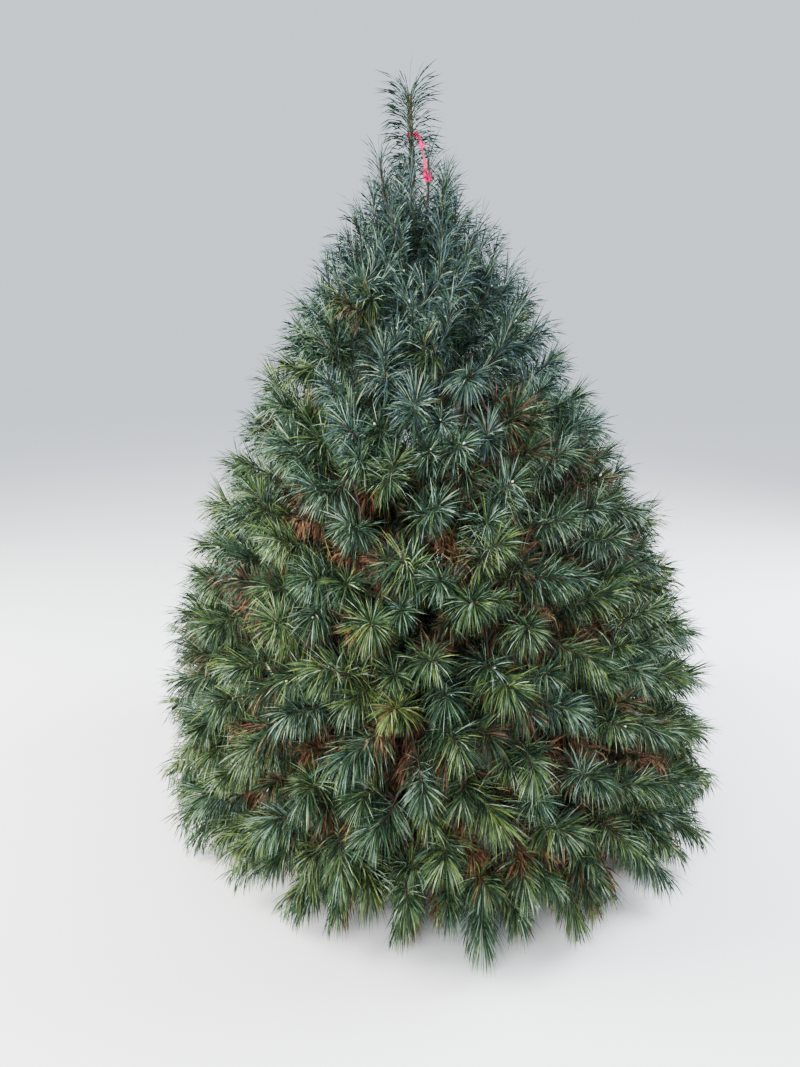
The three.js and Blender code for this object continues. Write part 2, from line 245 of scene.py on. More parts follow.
def lumps(points: Array, scale: float, seed: float) -> Array:
    """Read a smooth field of lumps between -1 and 1 at each point.

    Args:
        points: Places, in metres.
        scale: Size of a lump, in metres.
        seed: Picks one field out of many.

    Returns:
        One value for each point.
    """
    cell = points / scale
    corner = np.floor(cell)
    part = cell - corner
    part = part * part * (3 - 2 * part)
    total = np.zeros(points.shape[:-1])
    for step in np.ndindex(2, 2, 2):
        at = corner + step
        value = chance(at[..., 0] + ROW_STEP * at[..., 1] + LAYER_STEP * at[..., 2], seed)
        weight = np.prod(np.where(np.array(step) == 1, part, 1 - part), axis=-1)
        total += weight * value
    return 2 * total - 1


@dataclass
class Bin:
    """Points and triangles of many small things that end up as one joined mesh."""

    points: list[Array] = field(default_factory=list)
    faces: list[Array] = field(default_factory=list)
    count: int = 0

    def add(self, points: Array, faces: Array) -> None:
        """Put one batch in.

        Args:
            points: Places, of any shape that ends in 3.
            faces: Triangles, as numbers of this batch's points.
        """
        flat = points.reshape(-1, 3)
        self.points.append(flat)
        self.faces.append(faces.reshape(-1, 3) + self.count)
        self.count += len(flat)

    @property
    def is_empty(self) -> bool:
        """Say whether nothing was put in."""
        return self.count == 0

    def piece(self, name: str, material: Material, slot: Slot, nodes: Iterable[str] = ()) -> None:
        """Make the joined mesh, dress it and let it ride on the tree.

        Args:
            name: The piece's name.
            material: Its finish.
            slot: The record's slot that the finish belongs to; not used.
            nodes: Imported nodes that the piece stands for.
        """
        points = np.concatenate(self.points).astype(np.float32)
        faces = np.concatenate(self.faces).astype(np.int32)
        mesh = bpy.data.meshes.new(name)
        mesh.vertices.add(len(points))
        mesh.vertices.foreach_set("co", points.ravel())
        mesh.loops.add(faces.size)
        mesh.loops.foreach_set("vertex_index", faces.ravel())
        mesh.polygons.add(len(faces))
        mesh.polygons.foreach_set("loop_start", np.arange(0, faces.size, 3, dtype=np.int32))
        mesh.update(calc_edges=True)
        mesh.materials.append(material)
        piece = bpy.data.objects.new(name, mesh)
        bpy.context.scene.collection.objects.link(piece)
        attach(piece, BODY)
        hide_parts(*nodes)
        LOG.info("%s: %d triangles", name, len(faces))


def fill(node: bpy.types.Node, values: dict[str, float | tuple[float, ...]]) -> None:
    """Set values on a node's inputs, with _ for a space in an input's name."""
    for socket, value in values.items():
        node.inputs[socket.replace("_", " ")].default_value = value


@dataclass
class Paint:
    """A material while it is being put together."""

    name: str
    material: Material = field(init=False)
    shader: bpy.types.Node = field(init=False)

    def __post_init__(self) -> None:
        """Start from a plain principled shader."""
        self.material = bpy.data.materials.new(self.name)
        self.material.use_nodes = True
        self.shader = self.material.node_tree.nodes["Principled BSDF"]

    def set(self, **values: float | tuple[float, ...]) -> None:
        """Set uniform values on the shader's own sockets."""
        fill(self.shader, values)

    def node(self, kind: str, **values: float | tuple[float, ...]) -> bpy.types.Node:
        """Add a node and set its inputs.

        Args:
            kind: The node's type.
            values: Value of each input.

        Returns:
            The new node.
        """
        made = self.material.node_tree.nodes.new(kind)
        fill(made, values)
        return made

    def link(self, output: Socket, target: Socket) -> None:
        """Join an output to an input."""
        self.material.node_tree.links.new(output, target)

    def noise(self, scale: float, detail: float, stretch: Triple = (1, 1, 1)) -> Socket:
        """Add a noise over the object's own space.

        Args:
            scale: Lumps to a metre.
            detail: Octaves.
            stretch: Scale of the space along each axis.

        Returns:
            The noise's value.
        """
        place = self.node("ShaderNodeTexCoord")
        mapping = self.node("ShaderNodeMapping", Scale=stretch)
        made = self.node("ShaderNodeTexNoise", Scale=scale, Detail=detail)
        self.link(place.outputs["Object"], mapping.inputs["Vector"])
        self.link(mapping.outputs["Vector"], made.inputs["Vector"])
        return made.outputs["Fac"]

    def colour(self, value: Socket, stops: Iterable[tuple[float, Colour]]) -> None:
        """Let the base colour follow a value.

        Args:
            value: What the colour follows.
            stops: Place and colour of each stop.
        """
        made = self.node("ShaderNodeValToRGB")
        stops = list(stops)
        elements = made.color_ramp.elements
        while len(elements) < len(stops):
            elements.new(0.5)
        for element, (place, colour) in zip(elements, stops, strict=True):
            element.position = place
            element.color = (*colour, 1)
        self.link(value, made.inputs["Fac"])
        self.link(made.outputs["Color"], self.shader.inputs["Base Color"])

    def bump(self, height: Socket, strength: float, distance: float) -> None:
        """Let a value stand out from the surface.

        Args:
            height: The value.
            strength: Share of the effect.
            distance: How far it stands out, in metres.
        """
        made = self.node("ShaderNodeBump", Strength=strength, Distance=distance)
        self.link(height, made.inputs["Height"])
        self.link(made.outputs["Normal"], self.shader.inputs["Normal"])


@dataclass(frozen=True)
class NeedleFinish:
    """Waxy living needles, or dry ones, in one tint."""

    tint: Tint
    patches_per_metre: float = 70
    patch_detail: float = 3
    dark_to: float = 0.36
    light_from: float = 0.64
    roughness: float = 0.5
    dry_roughness: float = 0.7
    specular: float = 0.2

    def material(self) -> Material:
        """Make the material.

        Returns:
            The new material.
        """
        paint = Paint(f"needles_{self.tint.name.lower()}")
        dark, light = self.tint.value
        patches = paint.noise(self.patches_per_metre, self.patch_detail)
        paint.colour(patches, [(self.dark_to, dark), (self.light_from, light)])
        roughness = self.dry_roughness if self.tint.is_dry else self.roughness
        paint.set(Roughness=roughness, Specular_IOR_Level=self.specular)
        return paint.material


@dataclass(frozen=True)
class BarkFinish:
    """Bark with blotches, fine fissures and lichen-grey high spots."""

    name: str
    dark: Colour
    middle: Colour
    light: Colour
    stops: Triple = (0.3, 0.52, 0.72)
    blotches_per_metre: float = 26
    blotch_detail: float = 5
    fissures_per_metre: float = 150
    fissure_detail: float = 4
    fissure_stretch: Triple = (1, 1, 0.3)
    fissure_strength: float = 0.6
    fissure_depth: float = 0.0015
    roughness: float = 0.86

    def material(self) -> Material:
        """Make the material.

        Returns:
            The new material.
        """
        paint = Paint(self.name)
        blotches = paint.noise(self.blotches_per_metre, self.blotch_detail)
        paint.colour(blotches, zip(self.stops, (self.dark, self.middle, self.light), strict=True))
        fissures = paint.noise(self.fissures_per_metre, self.fissure_detail, self.fissure_stretch)
        paint.bump(fissures, self.fissure_strength, self.fissure_depth)
        paint.set(Roughness=self.roughness)
        return paint.material


OLD_BARK = BarkFinish("old_bark", (0.065, 0.050, 0.038), (0.135, 0.110, 0.085), (0.240, 0.215, 0.180))
YOUNG_BARK = BarkFinish("young_bark", (0.038, 0.023, 0.020), (0.080, 0.046, 0.037), (0.138, 0.090, 0.073))
GREEN_BARK = BarkFinish("green_shoot", (0.024, 0.021, 0.015), (0.052, 0.048, 0.033), (0.105, 0.100, 0.072))
BUD_SCALES = replace(YOUNG_BARK, name="bud_scales", middle=(0.160, 0.090, 0.058), light=(0.290, 0.200, 0.145))


@dataclass(frozen=True)
class ResinFinish:
    """Dried resin, milky and a little glossy."""

    dull: Colour = (0.50, 0.40, 0.32)
    white: Colour = (0.86, 0.82, 0.76)
    dull_to: float = 0.4
    white_from: float = 0.55
    patches_per_metre: float = 400
    patch_detail: float = 2
    roughness: float = 0.35

    def material(self) -> Material:
        """Make the material.

        Returns:
            The new material.
        """
        paint = Paint("dried_resin")
        patches = paint.noise(self.patches_per_metre, self.patch_detail)
        paint.colour(patches, [(self.dull_to, self.dull), (self.white_from, self.white)])
        paint.set(Roughness=self.roughness)
        return paint.material


@dataclass(frozen=True)
class TapeFinish:
    """Thin bright film, crumpled and a little faded."""

    bright: Colour = (0.50, 0.001, 0.088)
    faded: Colour = (0.64, 0.007, 0.155)
    bright_to: float = 0.4
    faded_from: float = 0.62
    patches_per_metre: float = 90
    creases_per_metre: float = 220
    detail: float = 2
    crease_strength: float = 0.5
    crease_depth: float = 0.001
    roughness: float = 0.55
    specular: float = 0.3

    def material(self) -> Material:
        """Make the material.

        Returns:
            The new material.
        """
        paint = Paint("pink_film")
        patches = paint.noise(self.patches_per_metre, self.detail)
        paint.colour(patches, [(self.bright_to, self.bright), (self.faded_from, self.faded)])
        paint.bump(paint.noise(self.creases_per_metre, self.detail), self.crease_strength, self.crease_depth)
        paint.set(Roughness=self.roughness, Specular_IOR_Level=self.specular)
        return paint.material


@dataclass(frozen=True)
class Crown:
    """The sheared outline, needle tips included, and the leaning axis that all is placed by."""

    bud_height: float = 2.262
    lean: float = 0.049
    foot_radius: float = 0.933
    closes_at: float = 2.350
    bulge: float = 2.28
    taper: float = 1.49
    leader_reach: float = 0.104
    hem_rise: float = math.radians(-11)
    rise_gain: float = math.radians(86)
    upright_from: float = 2.0

    def radius(self, height: Array | float) -> Array:
        """Give the outline's radius.

        Args:
            height: Height above the ground.

        Returns:
            The radius there, round the leaning axis.
        """
        height = np.asarray(height, float)
        cone = np.maximum(0, 1 - (np.maximum(height, 0) / self.closes_at) ** self.bulge)
        leader = np.where(height < self.bud_height, self.leader_reach, 0)
        return np.maximum(self.foot_radius * cone**self.taper, leader)

    def place(self, azimuth: Array | float, radius: Array | float, height: Array | float) -> Array:
        """Find a place round the leaning axis.

        Args:
            azimuth: Angle round the axis.
            radius: Distance from it.
            height: Height above the ground.

        Returns:
            The place.
        """
        azimuth, radius, height = np.broadcast_arrays(azimuth, radius, height)
        x = radius * np.cos(azimuth) - self.lean * height
        return np.stack([x, radius * np.sin(azimuth), height], axis=-1).astype(float)

    def rise(self, height: Array | float) -> Array:
        """Give a shoot's rise: drooping a little at the hem and nearly upright at the top."""
        return self.hem_rise + self.rise_gain * np.minimum(np.asarray(height) / self.upright_from, 1)


@dataclass(frozen=True)
class Swing:
    """Lines of limbs: each a curve from its start, pulled towards a bend, to its end."""

    start: Array
    bend: Array
    end: Array

    def point(self, share: Array | float) -> Array:
        """Give the place at a share of each line."""
        t = column(np.asarray(share, float))
        return (1 - t) ** 2 * self.start + 2 * t * (1 - t) * self.bend + t**2 * self.end

    def tangent(self, share: Array | float) -> Array:
        """Give the direction at a share of each line."""
        t = column(np.asarray(share, float))
        return unit((1 - t) * (self.bend - self.start) + t * (self.end - self.bend))

    def length(self) -> Array:
        """Estimate each line's length from its chord and its two legs.

        Returns:
            The lengths.
        """
        chord = np.linalg.norm(self.end - self.start, axis=-1)
        legs = np.linalg.norm(self.bend - self.start, axis=-1) + np.linalg.norm(self.end - self.bend, axis=-1)
        return (2 * chord + legs) / 3

    def only(self, chosen: Array) -> Swing:
        """Keep some of the lines."""
        return Swing(self.start[chosen], self.bend[chosen], self.end[chosen])

    @staticmethod
    def stack(lines: Sequence[Swing]) -> Swing:
        """Put single lines together as one batch.

        Args:
            lines: The lines.

        Returns:
            The batch, in the same order.
        """
        starts = np.array([line.start for line in lines])
        bends = np.array([line.bend for line in lines])
        ends = np.array([line.end for line in lines])
        return Swing(starts, bends, ends)


@dataclass(frozen=True)
class Tube:
    """How a limb is meshed: rings along it, points in a ring, and the height of its bark's lumps."""

    rings: int
    sides: int
    relief: float = 0.0


def tube_faces(rings: int, sides: int) -> list[Triangle]:
    """List the triangles between rings of points.

    Args:
        rings: Rings along the tube.
        sides: Points in a ring.

    Returns:
        Triangles, as numbers of points that are counted ring by ring.
    """
    faces = []
    for level in range(rings - 1):
        for k in range(sides):
            here = level * sides + k
            after = level * sides + (k + 1) % sides
            faces += [(here, after, after + sides), (here, after + sides, here + sides)]
    return faces


def end_faces(rings: int, sides: int) -> list[Triangle]:
    """List the triangles that close a tube on two more points, its tip and then its foot.

    Args:
        rings: Rings along the tube.
        sides: Points in a ring.

    Returns:
        Triangles, as numbers of the points.
    """
    last = (rings - 1) * sides
    tip = rings * sides
    faces = []
    for k in range(sides):
        after = (k + 1) % sides
        faces += [(last + k, last + after, tip), (after, k, tip + 1)]
    return faces


def stalks(swing: Swing, radii: Array, tube: Tube) -> tuple[Array, Array]:
    """Build a tapering tube with a closed pointed end along each line.

    Args:
        swing: The lines.
        radii: Radius at the start and at the end of each line, as rows of two.
        tube: How each is meshed.

    Returns:
        Points and triangles of all tubes.
    """
    share = np.linspace(0, 1, tube.rings)
    lines = Swing(*(line[:, None, :] for line in (swing.start, swing.bend, swing.end)))
    centre = lines.point(share[None, :])
    tangent = lines.tangent(share[None, :])
    side, other = across(tangent, TUBE_REFERENCE)
    angle = np.linspace(0, math.tau, tube.sides, endpoint=False)
    ring = np.cos(angle)[:, None] * side[:, :, None, :] + np.sin(angle)[:, None] * other[:, :, None, :]
    radius = mix(radii[:, :1], radii[:, 1:], share[None, :])
    points = centre[:, :, None, :] + ring * radius[:, :, None, None]
    if tube.relief:
        points = points + ring * column(tube.relief * lumps(points, LIMB_LUMP, Relief.LIMBS))
    points = points.reshape(len(points), -1, 3)
    tips = centre[:, -1, :] + tangent[:, -1, :] * radius[:, -1:]
    points = np.concatenate([points, tips[:, None, :], centre[:, :1, :]], axis=1)
    faces = np.array(tube_faces(tube.rings, tube.sides) + end_faces(tube.rings, tube.sides))
    offsets = np.arange(len(points)) * points.shape[1]
    return points, faces[None] + offsets[:, None, None]


@dataclass(frozen=True)
class Trunk:
    """The straight trunk from its flat cut to the leader, with its root flare and whorl collars."""

    crown: Crown
    top: float = 2.0
    foot_radius: float = 0.041
    top_radius: float = 0.008
    flare_radius: float = 0.021
    flare_height: float = 0.048
    flare_ribs: int = 5
    rib_share: float = 0.09
    rib_turn: float = 0.6
    collar_radius: float = 0.003
    collar_height: float = 0.022
    first_whorl: float = 0.130
    yearly_growth: float = 0.283
    oldest: float = 1.1
    youngest: float = 0.1
    plate_depth: float = 0.0022
    plate_size: float = 0.011
    plate_stretch: float = 0.22
    chip_size: float = 0.005
    chip_share: float = 0.4
    grain_depth: float = 0.0004
    grain_size: float = 0.004
    grain_squash: float = 4
    sunk: float = 0.0006
    sides: int = 44
    rings: int = 130
    foot_crowding: float = 1.2

    def whorl_height(self, whorl: Array | float) -> Array | float:
        """Give the height at which a year's boughs leave the trunk."""
        return self.first_whorl + self.yearly_growth * whorl

    def whorl_radius(self, whorl: int) -> float:
        """Give the trunk's radius at that height."""
        return float(self.radius(self.whorl_height(whorl)))

    def radius(self, height: Array | float) -> Array:
        """Give the trunk's radius.

        Args:
            height: Height above the ground.

        Returns:
            The radius there, with the flare and the collars.
        """
        height = np.asarray(height, float)
        taper = 1 - height / self.top
        flare = self.flare_radius * np.exp(-height / self.flare_height)
        nearest = np.maximum(0, np.round((height - self.first_whorl) / self.yearly_growth))
        collar = np.exp(-(((height - self.whorl_height(nearest)) / self.collar_height) ** 2))
        spread = (self.foot_radius - self.top_radius) * taper
        return self.top_radius + spread + flare + self.collar_radius * taper * collar

    def relief(self, angle: Array, height: Array, radius: Array) -> Array:
        """Give how far the bark stands out: long plates near the ground, fine grain above.

        Args:
            angle: Angle round the trunk.
            height: Height above the ground.
            radius: The trunk's radius there.

        Returns:
            What to add to the radius.
        """
        squeezed = self.plate_stretch * height
        place = np.stack([np.cos(angle) * radius, np.sin(angle) * radius, squeezed], axis=-1)
        chips = self.chip_share * lumps(place, self.chip_size, Relief.CHIPS)
        plates = -np.abs(lumps(place, self.plate_size, Relief.PLATES)) + chips
        grain = lumps(place * np.array([1, 1, self.grain_squash]), self.grain_size, Relief.GRAIN)
        age = np.clip(self.oldest - height / self.top, self.youngest, 1)
        flare = np.exp(-height / self.flare_height)
        ribs = self.rib_share * radius * np.cos(self.flare_ribs * angle + self.rib_turn) * flare
        return self.plate_depth * age * plates + self.grain_depth * grain + ribs - self.sunk

    def build(self, material: Material) -> None:
        """Build the trunk with its bark, in place of the trunk's solid.

        Args:
            material: The old bark.
        """
        height = self.top * np.linspace(0, 1, self.rings) ** self.foot_crowding
        angle = np.linspace(0, math.tau, self.sides, endpoint=False)
        height, angle = np.meshgrid(height, angle, indexing="ij")
        radius = self.radius(height)
        radius = radius + self.relief(angle, height, radius)
        points = self.crown.place(angle, radius, height).reshape(-1, 3)
        ends = np.array([self.crown.place(0, 0, self.top), self.crown.place(0, 0, 0)])
        faces = tube_faces(self.rings, self.sides) + end_faces(self.rings, self.sides)
        bin_ = Bin()
        bin_.add(np.concatenate([points, ends]), np.array(faces))
        bin_.piece("trunk_bark", material, Slot.BARK, ["trunk"])


@dataclass
class Mass:
    """One mass of foliage: its place in its whorl, its middle, and the tip of what carries it."""

    name: str
    whorl: int
    azimuth: float
    heart: Array
    tip: Array | None = None
    has_bough: bool = False

    @property
    def node(self) -> str:
        """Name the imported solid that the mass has."""
        return f"foliage_{self.name}"

    @property
    def tier(self) -> Tier:
        """Find the tier that the mass is joined in."""
        return next(tier for tier in Tier if self.whorl in tier.value)


@dataclass(frozen=True)
class Skeleton:
    """The rule that places boughs, masses and shoots, the same as the solids' own."""

    crown: Crown
    trunk: Trunk
    boughs_in_whorl: tuple[int, ...] = (6, 6, 5, 4, 4)
    shoots_in_crest: tuple[int, ...] = (4, 4)
    azimuth_spread: float = 0.16
    first_heart: float = 0.225
    heart_rise: float = 0.350
    heart_rise_loss: float = 0.011
    top_heart_height: float = 1.960
    top_heart_radius: float = 0.104
    leader_heart: float = 2.195
    bare_share: float = 0.45
    core_depth: float = 0.120
    bough_foot_share: float = 0.3
    bough_foot_extra: float = 0.0015
    bough_taper: float = 0.62
    bough_bends_at: float = 0.55
    bough_sag: float = 0.22
    tip_drop: float = 0.030
    seat_gap: float = 0.0003
    stem_reach: float = 0.55
    stem_lift: float = 0.020
    stem_sag: float = 0.025
    upright_top: float = 2.040
    upright_spread: float = 0.045
    upright_elbow: float = 0.045
    upright_flare: float = 0.006
    needle: float = 0.108
    crest_starts: float = 1.600
    hem_feet: float = 0.048

    @property
    def whorls(self) -> tuple[int, ...]:
        """Count the limbs in every whorl, from the ground up."""
        return self.boughs_in_whorl + self.shoots_in_crest

    @property
    def top_whorl(self) -> int:
        """Number the youngest whorl."""
        return len(self.whorls) - 1

    def heart_height(self, whorl: int) -> float:
        """Give the height of the middle of a whorl's masses."""
        return self.first_heart + whorl * (self.heart_rise - self.heart_rise_loss * whorl)

    def whorl_masses(self, whorl: int) -> list[Mass]:
        """Place the masses of one whorl.

        Args:
            whorl: Its number, from the ground up.

        Returns:
            The masses, in the order of their nodes.
        """
        count = self.whorls[whorl]
        height = self.heart_height(whorl)
        reach = float(self.crown.radius(height))
        has_bough = whorl < len(self.boughs_in_whorl)
        bare = self.bare_share * reach if has_bough else self.trunk.whorl_radius(whorl)
        masses = []
        for k in range(count):
            part = k + self.azimuth_spread * float(chance(whorl, k))
            azimuth = whorl * GOLDEN_ANGLE + math.tau * part / count
            name = f"w{whorl + 1}_{k + 1}"
            if whorl == self.top_whorl:
                heart = self.crown.place(azimuth, self.top_heart_radius, self.top_heart_height)
                masses.append(Mass(name, whorl, azimuth, heart))
                continue
            depth = (reach - self.core_depth - bare) / 2
            tip = self.crown.place(azimuth, bare, height - (self.tip_drop if has_bough else 0))
            heart = self.crown.place(azimuth, bare + depth, height)
            masses.append(Mass(name, whorl, azimuth, heart, tip, has_bough))
        return masses

    def masses(self) -> list[Mass]:
        """Place every mass.

        Returns:
            The masses whorl by whorl, and the leader's last.
        """
        found = [mass for whorl in range(len(self.whorls)) for mass in self.whorl_masses(whorl)]
        leader = Mass("leader", self.top_whorl, 0.0, self.crown.place(0, 0, self.leader_heart))
        return [*found, leader]

    def bough(self, mass: Mass) -> Swing:
        """Draw a bough's line from the trunk's middle up to its tip.

        Args:
            mass: The mass that the bough carries.

        Returns:
            The line.
        """
        foot = self.crown.place(0, 0, self.trunk.whorl_height(mass.whorl))
        bend = mix(foot, mass.tip, self.bough_bends_at)
        bend[2] -= self.bough_sag * (mass.tip[2] - foot[2])
        return Swing(foot, bend, mass.tip)

    def bough_radius(self, whorl: int, share: float) -> float:
        """Give a bough's radius at a share of its length."""
        foot = self.bough_foot_share * self.trunk.whorl_radius(whorl) + self.bough_foot_extra
        return foot * (1 - (1 - self.bough_taper) * share)

    def stem(self, mass: Mass) -> Swing:
        """Draw the stem of a mass: on from its bough's tip, or out of the trunk.

        Args:
            mass: The mass, which has to have a tip.

        Returns:
            The stem's line.
        """
        end = mix(mass.heart, mass.tip, -self.stem_reach)
        end[2] += self.stem_lift
        if mass.has_bough:
            line = self.bough(mass).tangent(1.0)
            start = mass.tip + self.seat_gap * line
            bend = start + line * np.linalg.norm(end - start) / 2
            return Swing(start, bend, end)
        start = self.crown.place(0, 0, self.trunk.whorl_height(mass.whorl))
        bend = mix(start, end, 0.5)
        bend[2] -= self.stem_sag
        return Swing(start, bend, end)

    def upright(self, mass: Mass) -> Swing:
        """Draw an upright shoot of the top whorl, which leaves the trunk and turns straight up.

        Args:
            mass: The mass that it carries.

        Returns:
            The shoot's line.
        """
        height = self.trunk.whorl_height(mass.whorl)
        bend = self.crown.place(mass.azimuth, self.top_heart_radius, height + self.upright_elbow)
        top = self.upright_top + self.upright_spread * float(chance(mass.azimuth, Trait.UPRIGHT_TOP))
        end = self.crown.place(mass.azimuth, self.top_heart_radius + self.upright_flare, top)
        return Swing(self.crown.place(0, 0, height), bend, end)

    def leader(self) -> Swing:
        """Draw this year's leader, from the trunk's top to the end bud.

        Returns:
            The leader's line.
        """
        foot = self.crown.place(0, 0, self.trunk.top)
        bud = self.crown.place(0, 0, self.crown.bud_height)
        return Swing(foot, mix(foot, bud, 0.5), bud)


@dataclass
class Feet:
    """Where the shoots of a layer end, and the direction in which each one points there."""

    item: Array
    height: Array
    foot: Array
    axis: Array

    def only(self, chosen: Array) -> Feet:
        """Keep some of the feet."""
        return Feet(self.item[chosen], self.height[chosen], self.foot[chosen], self.axis[chosen])


@dataclass(frozen=True)
class Layer:
    """One layer of shoots, spread evenly over the crown, each turned by the golden angle from the last."""

    rank: Rank
    dead_rank: Rank
    spacing: float
    crest_spacing: float
    radius: float
    shade: float
    dead: float = 0.0
    root_share: float = 1.3
    depth: float = 0.0
    crest_depth: float | None = None
    depth_spread: float = 0.014
    first_item: int = 0
    turn: float = 0.0
    start: float = 0.095
    stop: float = 1.900
    crest_inner: float = 0.5
    inner_every: int = 3
    swerve: float = 0.3
    standing_out: float = 0.82
    slope_step: float = 0.001

    def feet(self, rule: Skeleton) -> Feet:
        """Walk up the crown and set a foot at every step.

        Args:
            rule: The rule that gives the crown.

        Returns:
            The feet, from the hem upwards.
        """
        crown = rule.crown
        step = self.slope_step
        rows = []
        height = self.start
        item = self.first_item
        while height < self.stop:
            is_crest = height > rule.crest_starts
            inner = self.crest_inner if is_crest and item % self.inner_every == 0 else 1.0
            radius = float(crown.radius(height)) * inner
            slope = float(crown.radius(height - step) - crown.radius(height + step)) / (2 * step)
            spacing = self.crest_spacing if is_crest else self.spacing
            rows.append((item, height, radius))
            height += spacing**2 / (math.tau * radius * math.hypot(1, slope))
            item += 1
        items, heights, radii = (np.array(values) for values in zip(*rows, strict=True))
        azimuth = items * GOLDEN_ANGLE + self.turn
        swerve = self.swerve * (chance(items, Trait.SWERVE) - 0.5)
        axis = outward(azimuth + swerve, crown.rise(heights))
        crest_depth = self.depth if self.crest_depth is None else self.crest_depth
        depth = np.where(heights > rule.crest_starts, crest_depth, self.depth)
        reach = self.standing_out * rule.needle + depth + self.depth_spread * chance(items, Trait.DEPTH)
        foot = crown.place(azimuth, radii, heights) - column(reach) * axis
        foot[:, 2] = np.maximum(foot[:, 2], rule.hem_feet)
        return Feet(items, heights, foot, axis)


def clear_of(feet: Feet, others: Array, gap: Array | float) -> Feet:
    """Drop the feet that stand nearer than a gap to any of the others."""
    apart = np.linalg.norm(feet.foot[:, None] - others[None], axis=-1).min(axis=1)
    return feet.only(apart > gap)


@dataclass(frozen=True)
class Blade:
    """A needle's own outline in a few faces: where its points are, and how they join.

    The marks give each point's share of the length and its share of the width to one side.
    """

    marks: tuple[tuple[float, float], ...]
    faces: tuple[tuple[int, int, int], ...]


FINE_BLADE = Blade(
    ((0, 0), (0.22, -0.5), (0.30, 0.5), (0.60, -0.48), (0.70, 0.44), (1, 0)),
    ((0, 2, 1), (1, 2, 3), (2, 4, 3), (3, 4, 5)),
)
PLAIN_BLADE = Blade(((0, 0), (0.46, -0.5), (0.52, 0.5), (1, 0)), ((0, 2, 1), (1, 2, 3)))


@dataclass(frozen=True)
class NeedleStyle:
    """How the needles stand on one kind of shoot. Angles are from the shoot's own line."""

    strands: int
    needled: float
    back_lean: float
    front_lean: float
    length: float = 0.098
    sag: float = 0.8
    arch: float = 0.25
    width: float = 0.0025
    bare_end: float = 0.014
    offset: float = 0.0
    spread: float = 0.15
    weakest: float = 0.76
    strongest: float = 1.06
    blade: Blade = FINE_BLADE


class Rank(Enum):
    """Kinds of shoot, each with the way its needles stand.

    The first four numbers are the needles on a shoot, the length of it that carries them, and their lean at
    its back and at its front.
    """

    LEAD = NeedleStyle(285, 0.130, 1.35, 0.40, length=0.124)
    SIDE = NeedleStyle(235, 0.110, 1.3, 0.42, length=0.116, bare_end=0.008)
    HEM = NeedleStyle(275, 0.130, 1.25, 0.4, length=0.128, sag=1.3)
    INNER = NeedleStyle(175, 0.160, 1.2, 0.6, length=0.100, sag=0.9, width=0.0042, blade=PLAIN_BLADE)
    DEEP = NeedleStyle(140, 0.200, 1.3, 0.6, length=0.108, sag=0.9, width=0.0062, blade=PLAIN_BLADE)
    CREST = NeedleStyle(168, 0.200, 1.0, 0.30, length=0.124, sag=1.1, arch=0.7, width=0.0021, bare_end=0.008)
    UPRIGHT = NeedleStyle(
        170, 0.240, 1.0, 0.25, length=0.116, sag=1.1, arch=0.7, width=0.0021, bare_end=0.004
    )
    LEADER = NeedleStyle(
        320, 0.240, 1.40, 0.64, length=0.146, sag=0.75, arch=0.6, width=0.0020, bare_end=0.002, weakest=1.0
    )
    SHEATH = NeedleStyle(
        260, 0.240, 0.35, 0.1, length=0.017, sag=0.0, width=0.0044, bare_end=0.001, offset=0.006
    )
    HANGING = NeedleStyle(120, 0.130, 1.0, 0.5, length=0.094, sag=2.2, width=0.0030, blade=PLAIN_BLADE)
    WITHERED = NeedleStyle(125, 0.155, 1.15, 0.55, length=0.102, sag=1.4, width=0.0046, blade=PLAIN_BLADE)


@dataclass
class Shoots:
    """A batch of shoots of one rank."""

    rank: Rank
    swing: Swing
    tier: Array
    palette: Array
    radii: Array

    @property
    def count(self) -> int:
        """Count the shoots."""
        return len(self.tier)

    def only(self, chosen: Array, rank: Rank | None = None) -> Shoots:
        """Keep some of the shoots, and give them another rank if one is named."""
        kept = (self.tier[chosen], self.palette[chosen], self.radii[chosen])
        return Shoots(rank or self.rank, self.swing.only(chosen), *kept)


